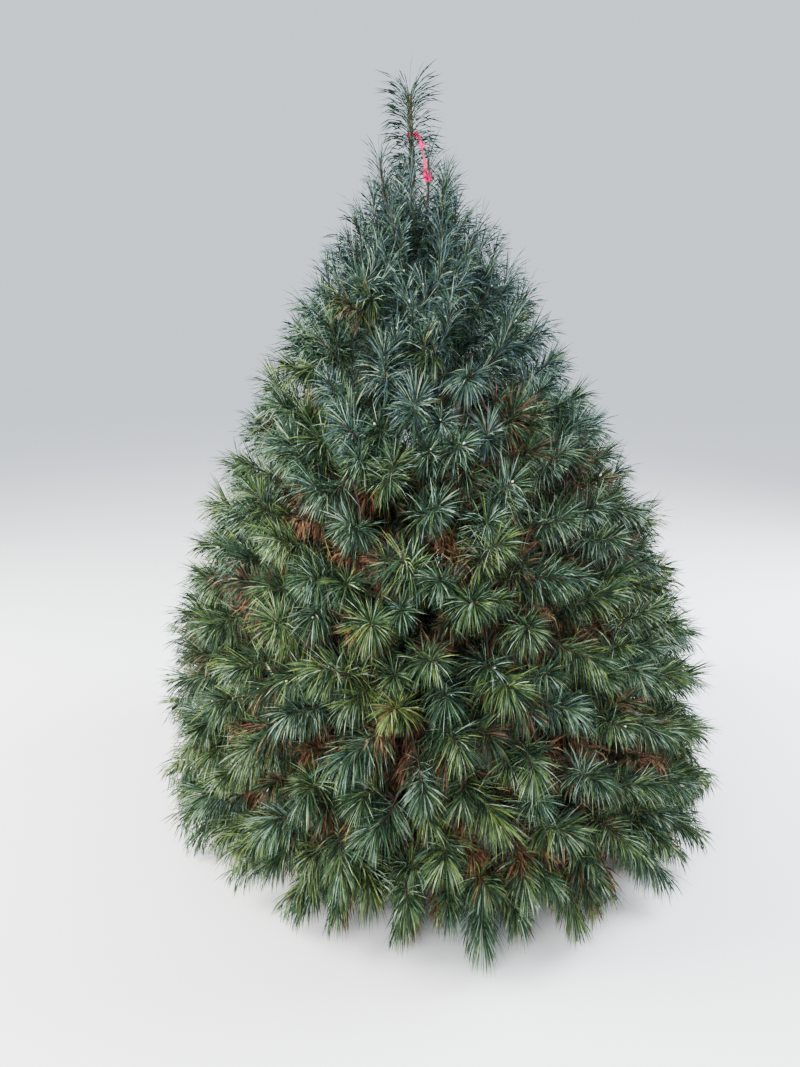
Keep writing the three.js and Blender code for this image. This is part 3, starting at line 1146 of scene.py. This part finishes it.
@dataclass(frozen=True)
class Needles:
    """Hangs needles on shoots: each a narrow blade of two or four faces, pointed at both ends and bent."""

    seed: int = 11
    ground: float = 0.006
    farthest_back: float = 0.97
    turn_spread: float = 0.35
    lean_power: float = 0.8
    length_spread: float = 0.3
    back_loss: float = 0.08
    least_sag: float = 0.7
    most_sag: float = 1.3
    narrowest: float = 0.75
    widest: float = 1.2
    roll: float = 1.3
    steepest: float = -1.5

    def strands(self, shoots: Shoots, rng: np.random.Generator) -> tuple[Array, Array, Array]:
        """Grow the needles of a batch of shoots.

        Args:
            shoots: The shoots.
            rng: Seeded source of what varies.

        Returns:
            Points of each needle, its tint's number and its tier's number.
        """
        style = shoots.rank.value
        total = shoots.count * style.strands
        owner = np.repeat(np.arange(shoots.count), style.strands)
        swing = shoots.swing.only(owner)
        along = rng.random(total)
        reach = shoots.swing.length()[owner]
        share = 1 - np.minimum((style.bare_end + style.needled * along) / reach, self.farthest_back)
        number = np.tile(np.arange(style.strands), shoots.count)
        turn = number * GOLDEN_ANGLE + rng.normal(0, self.turn_spread, total)
        lean = mix(style.front_lean, style.back_lean, along**self.lean_power)
        lean = lean * rng.normal(1, style.spread, total)
        vigour = rng.uniform(style.weakest, style.strongest, shoots.count)[owner]
        shortening = 1 - self.length_spread * rng.random(total) ** 2
        length = vigour * style.length * shortening * (1 - self.back_loss * along)
        tint = self.deal(shoots.palette[owner], rng)
        base, axis = swing.point(share), swing.tangent(share)
        points = self.blades(base, axis, turn, lean, length, style, rng)
        return points, tint, shoots.tier[owner]

    def deal(self, palette: Array, rng: np.random.Generator) -> Array:
        """Draw a tint for every needle from its tuft's palette.

        Args:
            palette: Number of each needle's palette.
            rng: Seeded source of what varies.

        Returns:
            The tints' numbers.
        """
        shares = np.cumsum(np.array([kind.value for kind in Palette]), axis=1)
        shares /= shares[:, -1:]
        return (rng.random(len(palette))[:, None] > shares[palette]).sum(axis=1)

    def blades(
        self,
        base: Array,
        axis: Array,
        turn: Array,
        lean: Array,
        length: Array,
        style: NeedleStyle,
        rng: np.random.Generator,
    ) -> Array:
        """Shape the blades.

        Args:
            base: Where each needle leaves its shoot.
            axis: The shoot's direction there.
            turn: The needle's angle round the shoot.
            lean: Its angle from the shoot.
            length: Its length.
            style: How the needles stand.
            rng: Seeded source of what varies.

        Returns:
            The points of each needle's blade.
        """
        side, other = across(axis, BLADE_REFERENCE)
        radial = column(np.cos(turn)) * side + column(np.sin(turn)) * other
        first_lean = lean * (1 - style.arch / 2)
        last_lean = lean * (1 + style.arch / 2)
        first = column(np.cos(first_lean)) * axis + column(np.sin(first_lean)) * radial
        last = column(np.cos(last_lean)) * axis + column(np.sin(last_lean)) * radial
        base = base + style.offset * radial
        last = self.droop(last, style.sag * rng.uniform(self.least_sag, self.most_sag, len(base)))
        half = column(length / 2)
        bend = base + first * half
        tip = bend + last * half
        flight = Swing(base, bend, tip)
        tangent = unit(tip - base)
        flat = unit(np.cross(tangent, axis) + TINY)
        roll = rng.uniform(-self.roll, self.roll, len(base))
        broad = column(np.cos(roll)) * flat + column(np.sin(roll)) * np.cross(tangent, flat)
        broad = broad * column(style.width * rng.uniform(self.narrowest, self.widest, len(base)))
        points = np.stack([flight.point(share) + broad * aside for share, aside in style.blade.marks], axis=1)
        points[..., 2] = np.maximum(points[..., 2], self.ground)
        return points

    def droop(self, ways: Array, sag: Array) -> Array:
        """Turn directions down, the more the flatter they lie.

        Args:
            ways: Unit vectors.
            sag: Angle that a level one turns down by.

        Returns:
            The turned vectors.
        """
        flat = np.linalg.norm(ways[:, :2], axis=-1)
        rise = np.arctan2(ways[:, 2], flat)
        rise = np.maximum(rise - sag * np.cos(rise), np.minimum(rise, self.steepest))
        level = ways[:, :2] / column(np.maximum(flat, TINY))
        return np.concatenate([level * column(np.cos(rise)), column(np.sin(rise))], axis=-1)


@dataclass(frozen=True)
class Dealer:
    """Chooses each tuft's palette by its place on the tree, and so paints shade inside and at the crest, sky
    light on the upper crown, and a yellower left flank that is partly painted sunlight.
    """

    skeleton: Skeleton
    low_below: float = 1.6
    fresh: float = 0.05
    # Fresh tufts grow commoner towards the left flank: partly young growth, partly painted sunlight from that
    # side.
    sunlit_fresh_to_left: float = 0.40
    fresh_if_low: float = 0.14
    least_fresh: float = 0.02
    most_fresh: float = 0.6
    green: float = 0.14
    green_if_low: float = 0.30
    yellowing_if_low: float = 0.020
    # Where the painted bluish sky light begins, and how much higher it begins on the sunlit left flank.
    skylit_starts: float = 1.1
    skylit_spread: float = 0.4
    skylit_climb: float = 0.35
    crest_spread: float = 0.2

    def palettes(self, feet: Feet, shade: float) -> Array:
        """Choose the palettes.

        Args:
            feet: The tufts.
            shade: Share of tufts that sit in the crown's own shade.

        Returns:
            Numbers of the palettes.
        """
        crown = self.skeleton.crown
        side = (feet.foot[:, 0] + crown.lean * feet.height) / crown.radius(feet.height)
        draw = chance(feet.item, Trait.PALETTE)
        low = np.clip(self.low_below - feet.height, 0, 1)
        # Yellower towards the left flank: partly painted sunlight.
        fresh = self.fresh - self.sunlit_fresh_to_left * side * np.abs(side) + self.fresh_if_low * low
        fresh = np.clip(fresh, self.least_fresh, self.most_fresh)
        green = self.green + self.green_if_low * low
        palette = np.full(len(draw), Palette.BLUE.number)
        palette[draw < fresh + green] = Palette.GREEN.number
        palette[draw < fresh] = Palette.FRESH.number
        # Tufts in the crown's own shade get the SHADED palette: painted shade.
        palette[chance(feet.item, Trait.SHADE) < shade] = Palette.SHADED.number
        palette[chance(feet.item, Trait.YELLOWING) < self.yellowing_if_low * low] = Palette.YELLOWING.number
        # Above a height that climbs on the left flank, blue tufts take the sky-lit palette: painted bluish sky
        # light.
        skylit_from = self.skylit_starts + self.skylit_spread * chance(feet.item, Trait.UPPER_EDGE)
        skylit_from = skylit_from - self.skylit_climb * np.minimum(side, 0)
        palette[(feet.height > skylit_from) & (palette == Palette.BLUE.number)] = Palette.UPPER.number
        # Crest tufts take the darker crest palette: painted shade against the light, with painted sky light.
        crest = self.skeleton.crest_starts + self.crest_spread * chance(feet.item, Trait.CREST_EDGE)
        palette[feet.height > crest] = Palette.CREST.number
        return palette


@dataclass
class Foliage:
    """All living and dead needles, the stems and twigs that carry them, and the buds at their ends."""

    skeleton: Skeleton
    needles: Needles = Needles()
    lead: Layer = Layer(Rank.LEAD, Rank.HANGING, 0.182, 0.122, radius=0.0030, shade=0.04)
    side: Layer = Layer(
        Rank.SIDE,
        Rank.HANGING,
        spacing=0.130,
        crest_spacing=0.077,
        radius=0.0022,
        shade=0.14,
        dead=0.06,
        depth=0.022,
        crest_depth=-0.030,
        depth_spread=0.035,
        first_item=1000,
        turn=1.1,
        start=0.050,
        stop=2.070,
        crest_inner=0.6,
    )
    inner: Layer = Layer(
        Rank.INNER,
        Rank.WITHERED,
        spacing=0.125,
        crest_spacing=0.125,
        radius=0.0020,
        shade=0.85,
        dead=0.36,
        root_share=1.4,
        depth=0.090,
        depth_spread=0.130,
        first_item=3000,
        turn=2.3,
        start=0.07,
        stop=1.80,
    )
    deep: Layer = Layer(
        Rank.DEEP,
        Rank.DEEP,
        spacing=0.150,
        crest_spacing=0.150,
        radius=0.0020,
        shade=0.97,
        dead=0.25,
        root_share=1.4,
        depth=0.240,
        depth_spread=0.200,
        first_item=5000,
        turn=0.4,
        start=0.20,
        stop=1.50,
    )
    skirt: Layer = Layer(
        Rank.INNER,
        Rank.WITHERED,
        spacing=0.130,
        crest_spacing=0.130,
        radius=0.0020,
        shade=0.9,
        dead=0.45,
        root_share=1.4,
        depth=0.050,
        depth_spread=0.100,
        first_item=7000,
        turn=0.9,
        start=0.045,
        stop=0.36,
    )
    end_share: float = 0.72
    bud_ahead: float = 0.044
    hem_ahead: float = 0.050
    waist_ahead: float = 0.022
    waist: float = 0.90
    waist_spread: float = 0.35
    sway: float = 0.72
    backward_cost: float = 1.7
    side_gap: float = 0.074
    hem_gap: float = 0.052
    crest_gap: float = 0.045
    inner_gap: float = 0.055
    hem_stops: float = 0.26
    shade_height: float = 1.1
    low_dead: float = 1.2
    dead_below: float = 1.5
    crest_stem_radius: float = 0.005
    stem_taper: float = 0.55
    upright_radii: tuple[float, float] = (0.0060, 0.0038)
    leader_radii: tuple[float, float] = (0.0080, 0.0056)
    stem_tube: Tube = Tube(12, 8, relief=0.0005)
    twig_tube: Tube = Tube(5, 4, relief=0.0003)
    upright_tube: Tube = Tube(9, 6, relief=0.0003)
    leader_tube: Tube = Tube(40, 12, relief=0.0009)
    bud_tube: Tube = Tube(2, 5)
    resin_tube: Tube = Tube(3, 6)
    bud_length: float = 0.011
    bud_radius: float = 0.0030
    bud_behind: float = 0.3
    bud_before: float = 0.5
    bud_taper: float = 0.3
    resin_share: float = 0.24
    resin_radius: float = 0.0030
    least_resin: float = 0.6
    resin_spread: float = 0.6
    resin_ahead: float = 0.3
    resin_taper: float = 0.6
    masses: list[Mass] = field(init=False)
    hearts: Array = field(init=False)
    tier_of: Array = field(init=False)
    stems: list[Swing | None] = field(init=False)
    dealer: Dealer = field(init=False)

    def __post_init__(self) -> None:
        """Place the masses and draw the stem of each one that has a tip."""
        self.masses = self.skeleton.masses()
        self.hearts = np.array([mass.heart for mass in self.masses])
        self.tier_of = np.array([mass.tier.number for mass in self.masses])
        self.stems = [self.skeleton.stem(mass) if mass.tip is not None else None for mass in self.masses]
        self.dealer = Dealer(self.skeleton)

    def owners(self, places: Array) -> Array:
        """Find the mass whose heart is nearest to each place."""
        return np.linalg.norm(places[:, None] - self.hearts[None], axis=-1).argmin(axis=1)

    def root_on(self, line: Swing, foot: Array, shares: Array) -> Array:
        """Find the point of a line from which a shoot runs forward to a foot.

        Args:
            line: The limb.
            foot: Where the shoot ends.
            shares: Where along the limb it may start.

        Returns:
            The point, which is near to the foot and rather behind it than ahead.
        """
        points = line.point(shares)
        reach = foot - points
        distance = np.linalg.norm(reach, axis=-1)
        ahead = (unit(reach) * line.tangent(shares)).sum(axis=-1)
        return points[(distance * (self.backward_cost - ahead)).argmin()]

    def shoots(self, layer: Layer, feet: Feet, roots: list[Array]) -> Shoots:
        """Draw a shoot from each root to its foot and a little beyond.

        Args:
            layer: The layer that they are in.
            feet: Where they end.
            roots: Where they start.

        Returns:
            The batch.
        """
        start = np.array(roots)
        apart = np.linalg.norm(feet.foot - start, axis=-1)
        traits = (Trait.SWAY_X, Trait.SWAY_Y, Trait.SWAY_Z)
        swerve = np.stack([chance(feet.item, trait) - 0.5 for trait in traits], axis=-1)
        axis = unit(feet.axis + self.sway * swerve)
        bend = feet.foot - axis * column(0.5 * apart)
        bulge = self.waist_ahead * np.exp(-(((feet.height - self.waist) / self.waist_spread) ** 2))
        ahead = np.where(feet.height < self.hem_stops, self.hem_ahead, self.bud_ahead + bulge)
        swing = Swing(start, bend, feet.foot + column(ahead) * axis)
        tier = self.tier_of[self.owners(feet.foot)]
        palette = self.dealer.palettes(feet, layer.shade)
        radii = (layer.radius * layer.root_share, layer.radius * self.end_share)
        return Shoots(layer.rank, swing, tier, palette, np.tile(radii, (len(start), 1)))

    def lead_shoots(self) -> tuple[Feet, Shoots]:
        """Grow the shoots that the solids have as well.

        Returns:
            Their feet, and the batch.
        """
        rule = self.skeleton
        feet = self.lead.feet(rule)
        lines = [stem or rule.upright(mass) for stem, mass in zip(self.stems, self.masses, strict=True)]
        lines[-1] = rule.leader()
        roots = [
            self.root_on(lines[owner], foot, LIMB_SHARES)
            for foot, owner in zip(feet.foot, self.owners(feet.foot), strict=True)
        ]
        return feet, self.shoots(self.lead, feet, roots)

    def side_shoots(self, leads: Feet, parents: Shoots) -> tuple[Feet, Shoots]:
        """Carry the rule on: finer shoots that fork from the lead shoots and end between them.

        Args:
            leads: Where the lead shoots end.
            parents: The lead shoots.

        Returns:
            The side shoots' feet, and the batch.
        """
        feet = self.side.feet(self.skeleton)
        gap = np.where(feet.height < self.hem_stops, self.hem_gap, self.side_gap)
        gap = np.where(feet.height > self.skeleton.crest_starts, self.crest_gap, gap)
        feet = clear_of(feet, leads.foot, gap)
        nearest = np.linalg.norm(feet.foot[:, None] - leads.foot[None], axis=-1).argmin(axis=1)
        roots = [
            self.root_on(parents.swing.only(parent), foot, FORK_SHARES)
            for foot, parent in zip(feet.foot, nearest, strict=True)
        ]
        return feet, self.shoots(self.side, feet, roots)

    def limb_shoots(self, layer: Layer, feet: Feet, lines: list[Swing | None]) -> tuple[Feet, Shoots]:
        """Grow older shoots from the masses' own limbs.

        Args:
            layer: The layer that they are in.
            feet: Where they end.
            lines: The limb of each mass, or none.

        Returns:
            The feet whose mass has a limb, and their shoots.
        """
        owners = self.owners(feet.foot)
        kept = np.array([lines[owner] is not None for owner in owners])
        feet = feet.only(kept)
        roots = [
            self.root_on(lines[owner], foot, LIMB_SHARES)
            for foot, owner in zip(feet.foot, owners[kept], strict=True)
        ]
        return feet, self.shoots(layer, feet, roots)

    def crest_shoots(self) -> list[Shoots]:
        """Grow the upright shoots of the top whorl and the leader.

        Returns:
            The uprights, the leader, and the leader again for the scales along its bark.
        """
        rule = self.skeleton
        top = [mass for mass in self.masses if mass.whorl == rule.top_whorl and mass.name != "leader"]
        swing = Swing.stack([rule.upright(mass) for mass in top])
        tier = np.full(len(top), Tier.TOP.number)
        crest = np.full(len(top), Palette.CREST.number)
        uprights = Shoots(Rank.UPRIGHT, swing, tier, crest, np.tile(self.upright_radii, (len(top), 1)))
        single = Swing.stack([rule.leader()])
        dark = np.array([Palette.DARK.number])
        leader = Shoots(Rank.LEADER, single, tier[:1], dark, np.array([self.leader_radii]))
        scales = np.array([Palette.SHEATH.number])
        return [uprights, leader, replace(leader, rank=Rank.SHEATH, palette=scales)]

    def layers(self) -> list[tuple[Layer, Feet, Shoots]]:
        """Grow the layers, from the sheared surface inwards.

        Returns:
            Each layer, the feet of its shoots and the shoots.
        """
        limbs = [self.skeleton.bough(mass) if mass.has_bough else None for mass in self.masses]
        lead_feet, leads = self.lead_shoots()
        side_feet, sides = self.side_shoots(lead_feet, leads)
        outer = np.concatenate([lead_feet.foot, side_feet.foot])
        inner_feet = clear_of(self.inner.feet(self.skeleton), outer, self.inner_gap)
        return [
            (self.lead, lead_feet, leads),
            (self.side, side_feet, sides),
            (self.inner, *self.limb_shoots(self.inner, inner_feet, self.stems)),
            (self.deep, *self.limb_shoots(self.deep, self.deep.feet(self.skeleton), limbs)),
            (self.skirt, *self.limb_shoots(self.skirt, self.skirt.feet(self.skeleton), self.stems)),
        ]

    def grow(self) -> list[Shoots]:
        """Grow every shoot, layer by layer.

        Returns:
            The batches, with the dead ones, those of the hem and those of the open crest apart.
        """
        batches = []
        for layer, feet, shoots in self.layers():
            low = np.clip(1 - feet.height / self.shade_height, 0, 1)
            dead = layer.dead * (1 + self.low_dead * low)
            is_hem = (feet.height < self.hem_stops) & (layer.rank in (Rank.LEAD, Rank.SIDE))
            is_dead = (chance(feet.item, Trait.DEATH) < dead) & (feet.height < self.dead_below) & ~is_hem
            is_crest = (feet.height > self.skeleton.crest_starts) & ~is_dead
            withered = shoots.only(is_dead, layer.dead_rank)
            withered.palette[:] = Palette.DEAD.number
            batches += [shoots.only(~is_dead & ~is_crest & ~is_hem), withered]
            batches += [shoots.only(is_crest, Rank.CREST), shoots.only(is_hem, Rank.HEM)]
        batches += self.crest_shoots()
        for batch in batches:
            LOG.info("%s: %d shoots", batch.rank.name.lower(), batch.count)
        return [batch for batch in batches if batch.count]

    def nodes(self, tier: Tier) -> list[str]:
        """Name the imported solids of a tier."""
        return [mass.node for mass in self.masses if mass.tier == tier]

    def build_needles(self, batches: list[Shoots]) -> None:
        """Hang the needles, joined by tier and tint.

        Args:
            batches: The shoots that carry them.
        """
        rng = np.random.default_rng(self.needles.seed)
        bins = {(tier, tint): Bin() for tier in Tier for tint in Tint}
        for batch in batches:
            points, tints, tiers = self.needles.strands(batch, rng)
            faces = np.array(batch.rank.value.blade.faces)
            for (tier, tint), bin_ in bins.items():
                chosen = points[(tiers == tier.number) & (tints == tint.number)]
                if len(chosen):
                    offsets = np.arange(len(chosen)) * chosen.shape[1]
                    bin_.add(chosen, faces[None] + offsets[:, None, None])
        materials = {tint: NeedleFinish(tint).material() for tint in Tint}
        for (tier, tint), bin_ in bins.items():
            if bin_.is_empty:
                continue
            slot = Slot.DEAD_NEEDLES if tint.is_dry else Slot.NEEDLES
            name = f"needles_{tier.name.lower()}_{tint.name.lower()}"
            bin_.piece(name, materials[tint], slot, self.nodes(tier))

    def build_wood(self, batches: list[Shoots], material: Material) -> None:
        """Build stems and twigs, joined by tier.

        Args:
            batches: The shoots.
            material: The young bark.
        """
        bins = {tier: Bin() for tier in Tier}
        for mass, line in zip(self.masses, self.stems, strict=True):
            if line is None:
                continue
            thick = self.skeleton.bough_radius(mass.whorl, 1.0) if mass.has_bough else self.crest_stem_radius
            radii = np.array([[thick, self.stem_taper * thick]])
            bins[mass.tier].add(*stalks(Swing.stack([line]), radii, self.stem_tube))
        for batch in batches:
            if batch.rank in (Rank.LEADER, Rank.SHEATH):
                continue
            tube = self.upright_tube if batch.rank is Rank.UPRIGHT else self.twig_tube
            for tier, bin_ in bins.items():
                chosen = batch.tier == tier.number
                if chosen.any():
                    part = batch.only(chosen)
                    bin_.add(*stalks(part.swing, part.radii, tube))
        for tier, bin_ in bins.items():
            bin_.piece(f"twigs_{tier.name.lower()}", material, Slot.YOUNG_BARK, self.nodes(tier))

    def build_leader(self, batches: list[Shoots], material: Material) -> None:
        """Build this year's leader.

        Args:
            batches: The shoots.
            material: Its bark, which is still green.
        """
        leader = next(batch for batch in batches if batch.rank is Rank.LEADER)
        bin_ = Bin()
        bin_.add(*stalks(leader.swing, leader.radii, self.leader_tube))
        bin_.piece("leader_stem", material, Slot.YOUNG_BARK, [self.masses[-1].node])

    def build_buds(self, batches: list[Shoots], bud: Material, resin: Material) -> None:
        """Set an end bud on every living outer shoot, and a drop of dried resin on some.

        Args:
            batches: The shoots.
            bud: The buds' finish.
            resin: The drops' finish.
        """
        buds, drops = Bin(), Bin()
        budless = (Rank.HANGING, Rank.WITHERED, Rank.INNER, Rank.DEEP, Rank.SHEATH)
        living = [batch for batch in batches if batch.rank not in budless]
        ends = np.concatenate([batch.swing.end for batch in living])
        axes = np.concatenate([batch.swing.tangent(np.ones(batch.count)) for batch in living])
        behind = ends - self.bud_behind * self.bud_length * axes
        before = ends + self.bud_before * self.bud_length * axes
        radii = np.tile((self.bud_radius, self.bud_taper * self.bud_radius), (len(ends), 1))
        buds.add(*stalks(Swing(behind, ends, before), radii, self.bud_tube))
        buds.piece("end_buds", bud, Slot.YOUNG_BARK)
        number = np.arange(len(ends))
        chosen = chance(number, Trait.RESIN) < self.resin_share
        share = self.least_resin + self.resin_spread * chance(number, Trait.RESIN_SIZE)
        size = self.resin_radius * share[chosen]
        middle = ends[chosen] + axes[chosen] * self.resin_ahead * self.bud_length
        reach = column(size) * axes[chosen]
        drop = Swing(middle - reach, middle, middle + reach)
        drops.add(*stalks(drop, np.stack([self.resin_taper * size, size], axis=-1), self.resin_tube))
        drops.piece("resin_drops", resin, Slot.RESIN)


@dataclass(frozen=True)
class Boughs:
    """The bare inner limbs, one for each mass of the older whorls."""

    skeleton: Skeleton
    tube: Tube = Tube(20, 10, relief=0.0009)

    def build(self, material: Material) -> None:
        """Build the boughs of each whorl as one piece.

        Args:
            material: The young bark.
        """
        for whorl in range(len(self.skeleton.boughs_in_whorl)):
            masses = self.skeleton.whorl_masses(whorl)
            swing = Swing.stack([self.skeleton.bough(mass) for mass in masses])
            ends = [self.skeleton.bough_radius(whorl, share) for share in (0.0, 1.0)]
            bin_ = Bin()
            bin_.add(*stalks(swing, np.tile(ends, (len(masses), 1)), self.tube))
            nodes = [f"bough_{mass.name}" for mass in masses]
            bin_.piece(f"boughs_w{whorl + 1}", material, Slot.YOUNG_BARK, nodes)


@dataclass(frozen=True)
class Tail:
    """A hanging end of the tape: its length, its drift aside, its twists and the angle they start at."""

    length: float
    drift: float
    twists: float
    phase: float


@dataclass(frozen=True)
class Flagging:
    """A strip of thin bright film tied round the leader, with two tails that hang beside it."""

    crown: Crown
    tie_height: float = 2.158
    width: float = 0.024
    thickness: float = 0.0003
    steps: int = 60
    ripple_height: float = 0.0016
    ripples_across: float = 9
    ripples_along: float = 0.7
    loop_radius: float = 0.0110
    loop_turns: float = 1.06
    loop_growth: float = 0.0006
    loop_wave: float = 0.003
    loop_tilt: float = 0.2
    loop_pinch: float = 0.07
    loop_open: float = 0.25
    knot_ahead: float = 0.005
    knot_turns: float = 2
    knot_size: Triple = (0.004, 0.005, 0.004)
    knot_tilt: float = 0.3
    knot_width: float = 0.009
    tails: tuple[Tail, ...] = (Tail(0.152, 0.032, 0.5, 0.25), Tail(0.062, 0.016, 0.3, 0.9))
    tail_ahead: float = 0.006
    tail_front: float = 0.010
    tail_forward: float = 0.105
    tail_curve: float = 0.7
    tail_tilt: float = 0.15
    tail_tilts: float = 3
    tail_pinch: float = 0.4
    tail_open: float = 0.6
    fold_depth: float = 0.3
    folds: float = 7

    def strip(self, path: Array, broad: Array, widths: Array, columns: int = 5) -> tuple[Array, Array]:
        """Build a thin closed strip along a path.

        Args:
            path: The strip's middle line.
            broad: Unit vector across the strip at each point.
            widths: Its width at each point.
            columns: Points across the strip.

        Returns:
            Points and triangles.
        """
        tangent = unit(np.gradient(path, axis=0))
        normal = unit(np.cross(tangent, broad))
        share = np.linspace(-0.5, 0.5, columns)
        wave = share[None, :] * self.ripples_across + np.arange(len(path))[:, None] * self.ripples_along
        middle = path[:, None] + broad[:, None] * (share[None, :] * widths[:, None])[..., None]
        middle = middle + normal[:, None] * (self.ripple_height * np.sin(wave))[..., None]
        shell = normal[:, None] * self.thickness / 2
        rings = np.concatenate([middle + shell, (middle - shell)[:, ::-1]], axis=1)
        count = rings.shape[1]
        faces = tube_faces(len(path), count)
        last = (len(path) - 1) * count
        for k in range(1, count - 1):
            faces += [(0, k + 1, k), (last, last + k, last + k + 1)]
        return rings.reshape(-1, 3), np.array(faces)

    def hang(self, tail: Tail) -> tuple[Array, Array]:
        """Build one tail that hangs from the knot and twists as it falls.

        Args:
            tail: Its sizes.

        Returns:
            Points and triangles.
        """
        share = np.linspace(0, 1, self.steps)
        knot = self.crown.place(0, self.loop_radius + self.tail_ahead, self.tie_height)
        away = share**self.tail_curve
        forward = -self.tail_front - self.tail_forward * away
        fall = np.stack([tail.drift * away, forward, -tail.length * share], axis=-1)
        turn = math.tau * tail.twists * share + tail.phase
        rise = self.tail_tilt * np.sin(self.tail_tilts * turn)
        broad = unit(np.stack([np.cos(turn), np.sin(turn), rise], axis=-1))
        fold = 1 - self.fold_depth * np.sin(self.folds * share + tail.phase) ** 2
        widths = self.width * (self.tail_pinch + self.tail_open * share**0.5) * fold
        return self.strip(knot + fall, broad, widths)

    def build(self, material: Material) -> None:
        """Build the loop, the knot and both tails.

        Args:
            material: The film.
        """
        bin_ = Bin()
        angle = np.linspace(0, math.tau * self.loop_turns, self.steps)
        height = self.tie_height + self.loop_wave * np.sin(2 * angle)
        path = self.crown.place(angle, self.loop_radius + self.loop_growth * angle / math.pi, height)
        widths = self.width * (self.loop_pinch + self.loop_open * np.maximum(0, np.sin(angle)))
        bin_.add(*self.strip(path, leaning(angle, self.loop_tilt), widths))
        turn = np.linspace(0, math.tau * self.knot_turns, self.steps)
        middle = self.crown.place(0, self.loop_radius + self.knot_ahead, self.tie_height)
        curl = np.array(self.knot_size) * np.stack([np.cos(turn), np.sin(turn), np.sin(turn / 2)], axis=-1)
        widths = np.full(self.steps, self.knot_width)
        bin_.add(*self.strip(middle + curl, leaning(turn, self.knot_tilt), widths))
        for tail in self.tails:
            bin_.add(*self.hang(tail))
        bin_.piece("flagging_tape", material, Slot.FLAGGING)


@dataclass(frozen=True)
class Lamp:
    """One soft square light."""

    name: str
    place: Triple
    size: float
    power: float
    colour: Colour


@dataclass(frozen=True)
class Studio:
    """A pale floor, soft light and the camera at the photograph's viewing angle."""

    camera_place: Triple = (-0.138, -2.60, 1.55)
    pitch: float = math.radians(13.3)
    lens: float = 27.03
    sensor: float = 36
    farthest: float = 200
    floor_half: float = 30.0
    floor_drop: float = 0.001
    floor_colour: tuple[float, ...] = (0.83, 0.835, 0.84, 1)
    floor_roughness: float = 0.9
    lamps: tuple[Lamp, ...] = (
        Lamp("left", (-4.4, -0.6, 3.2), 2.6, 545, (1.0, 0.98, 0.92)),
        Lamp("right", (4.4, 0.9, 3.2), 2.8, 560, (0.95, 0.98, 1.0)),
        Lamp("front", (-1.6, -4.6, 3.2), 3.0, 265, (1.0, 0.99, 0.97)),
    )
    aim: Triple = (-0.05, 0.0, 1.1)
    overhead_power: float = 0.46
    overhead_spread: float = 1.5
    surround_colour: tuple[float, ...] = (0.84, 0.91, 1.0, 1)
    surround_strength: float = 0.85
    look: str = "AgX - Medium High Contrast"
    exposure: float = 0.05

    def build(self) -> None:
        """Build the stage."""
        self.floor()
        self.camera()
        for lamp in self.lamps:
            self.light(lamp)
        self.overhead()
        bpy.context.scene.view_settings.look = self.look
        bpy.context.scene.view_settings.exposure = self.exposure
        world = bpy.data.worlds.new("studio")
        world.use_nodes = True
        values = {"Color": self.surround_colour, "Strength": self.surround_strength}
        fill(world.node_tree.nodes["Background"], values)
        bpy.context.scene.world = world

    def overhead(self) -> None:
        """Light the whole floor evenly from above, so that it runs into the background."""
        data = bpy.data.lights.new("overhead", "SUN")
        data.energy = self.overhead_power
        data.angle = self.overhead_spread
        bpy.context.scene.collection.objects.link(bpy.data.objects.new("overhead", data))

    def floor(self) -> None:
        """Lay the floor."""
        half, drop = self.floor_half, self.floor_drop
        corners = [(-half, -half, -drop), (half, -half, -drop), (half, half, -drop), (-half, half, -drop)]
        mesh = bpy.data.meshes.new("floor")
        mesh.from_pydata(corners, [], [(0, 1, 2, 3)])
        paint = Paint("pale_floor")
        paint.set(Base_Color=self.floor_colour, Roughness=self.floor_roughness)
        mesh.materials.append(paint.material)
        floor = bpy.data.objects.new("floor", mesh)
        bpy.context.scene.collection.objects.link(floor)

    def camera(self) -> None:
        """Set the camera."""
        data = bpy.data.cameras.new("camera")
        data.lens = self.lens
        data.sensor_width = self.sensor
        data.clip_end = self.farthest
        camera = bpy.data.objects.new("camera", data)
        camera.location = self.camera_place
        camera.rotation_euler = (math.pi / 2 - self.pitch, 0, 0)
        bpy.context.scene.collection.objects.link(camera)
        bpy.context.scene.camera = camera

    def light(self, lamp: Lamp) -> None:
        """Hang one light that faces the middle of the crown.

        Args:
            lamp: Its place, size, power and colour.
        """
        data = bpy.data.lights.new(lamp.name, "AREA")
        data.size = lamp.size
        data.energy = lamp.power
        data.color = lamp.colour
        light = bpy.data.objects.new(lamp.name, data)
        light.location = lamp.place
        target = light.location.copy()
        target[:] = self.aim
        light.rotation_euler = (light.location - target).to_track_quat("Z", "Y").to_euler()
        bpy.context.scene.collection.objects.link(light)


def main() -> None:
    """Build every sub-assembly in order."""
    logging.basicConfig(level=logging.INFO, format="%(name)s: %(message)s")
    crown = Crown()
    trunk = Trunk(crown)
    skeleton = Skeleton(crown, trunk)
    young_bark = YOUNG_BARK.material()
    trunk.build(OLD_BARK.material())
    Boughs(skeleton).build(young_bark)
    foliage = Foliage(skeleton)
    batches = foliage.grow()
    foliage.build_wood(batches, young_bark)
    foliage.build_leader(batches, GREEN_BARK.material())
    foliage.build_needles(batches)
    foliage.build_buds(batches, BUD_SCALES.material(), ResinFinish().material())
    Flagging(crown).build(TapeFinish().material())
    Studio().build()


if __name__ == "__main__":
    main()
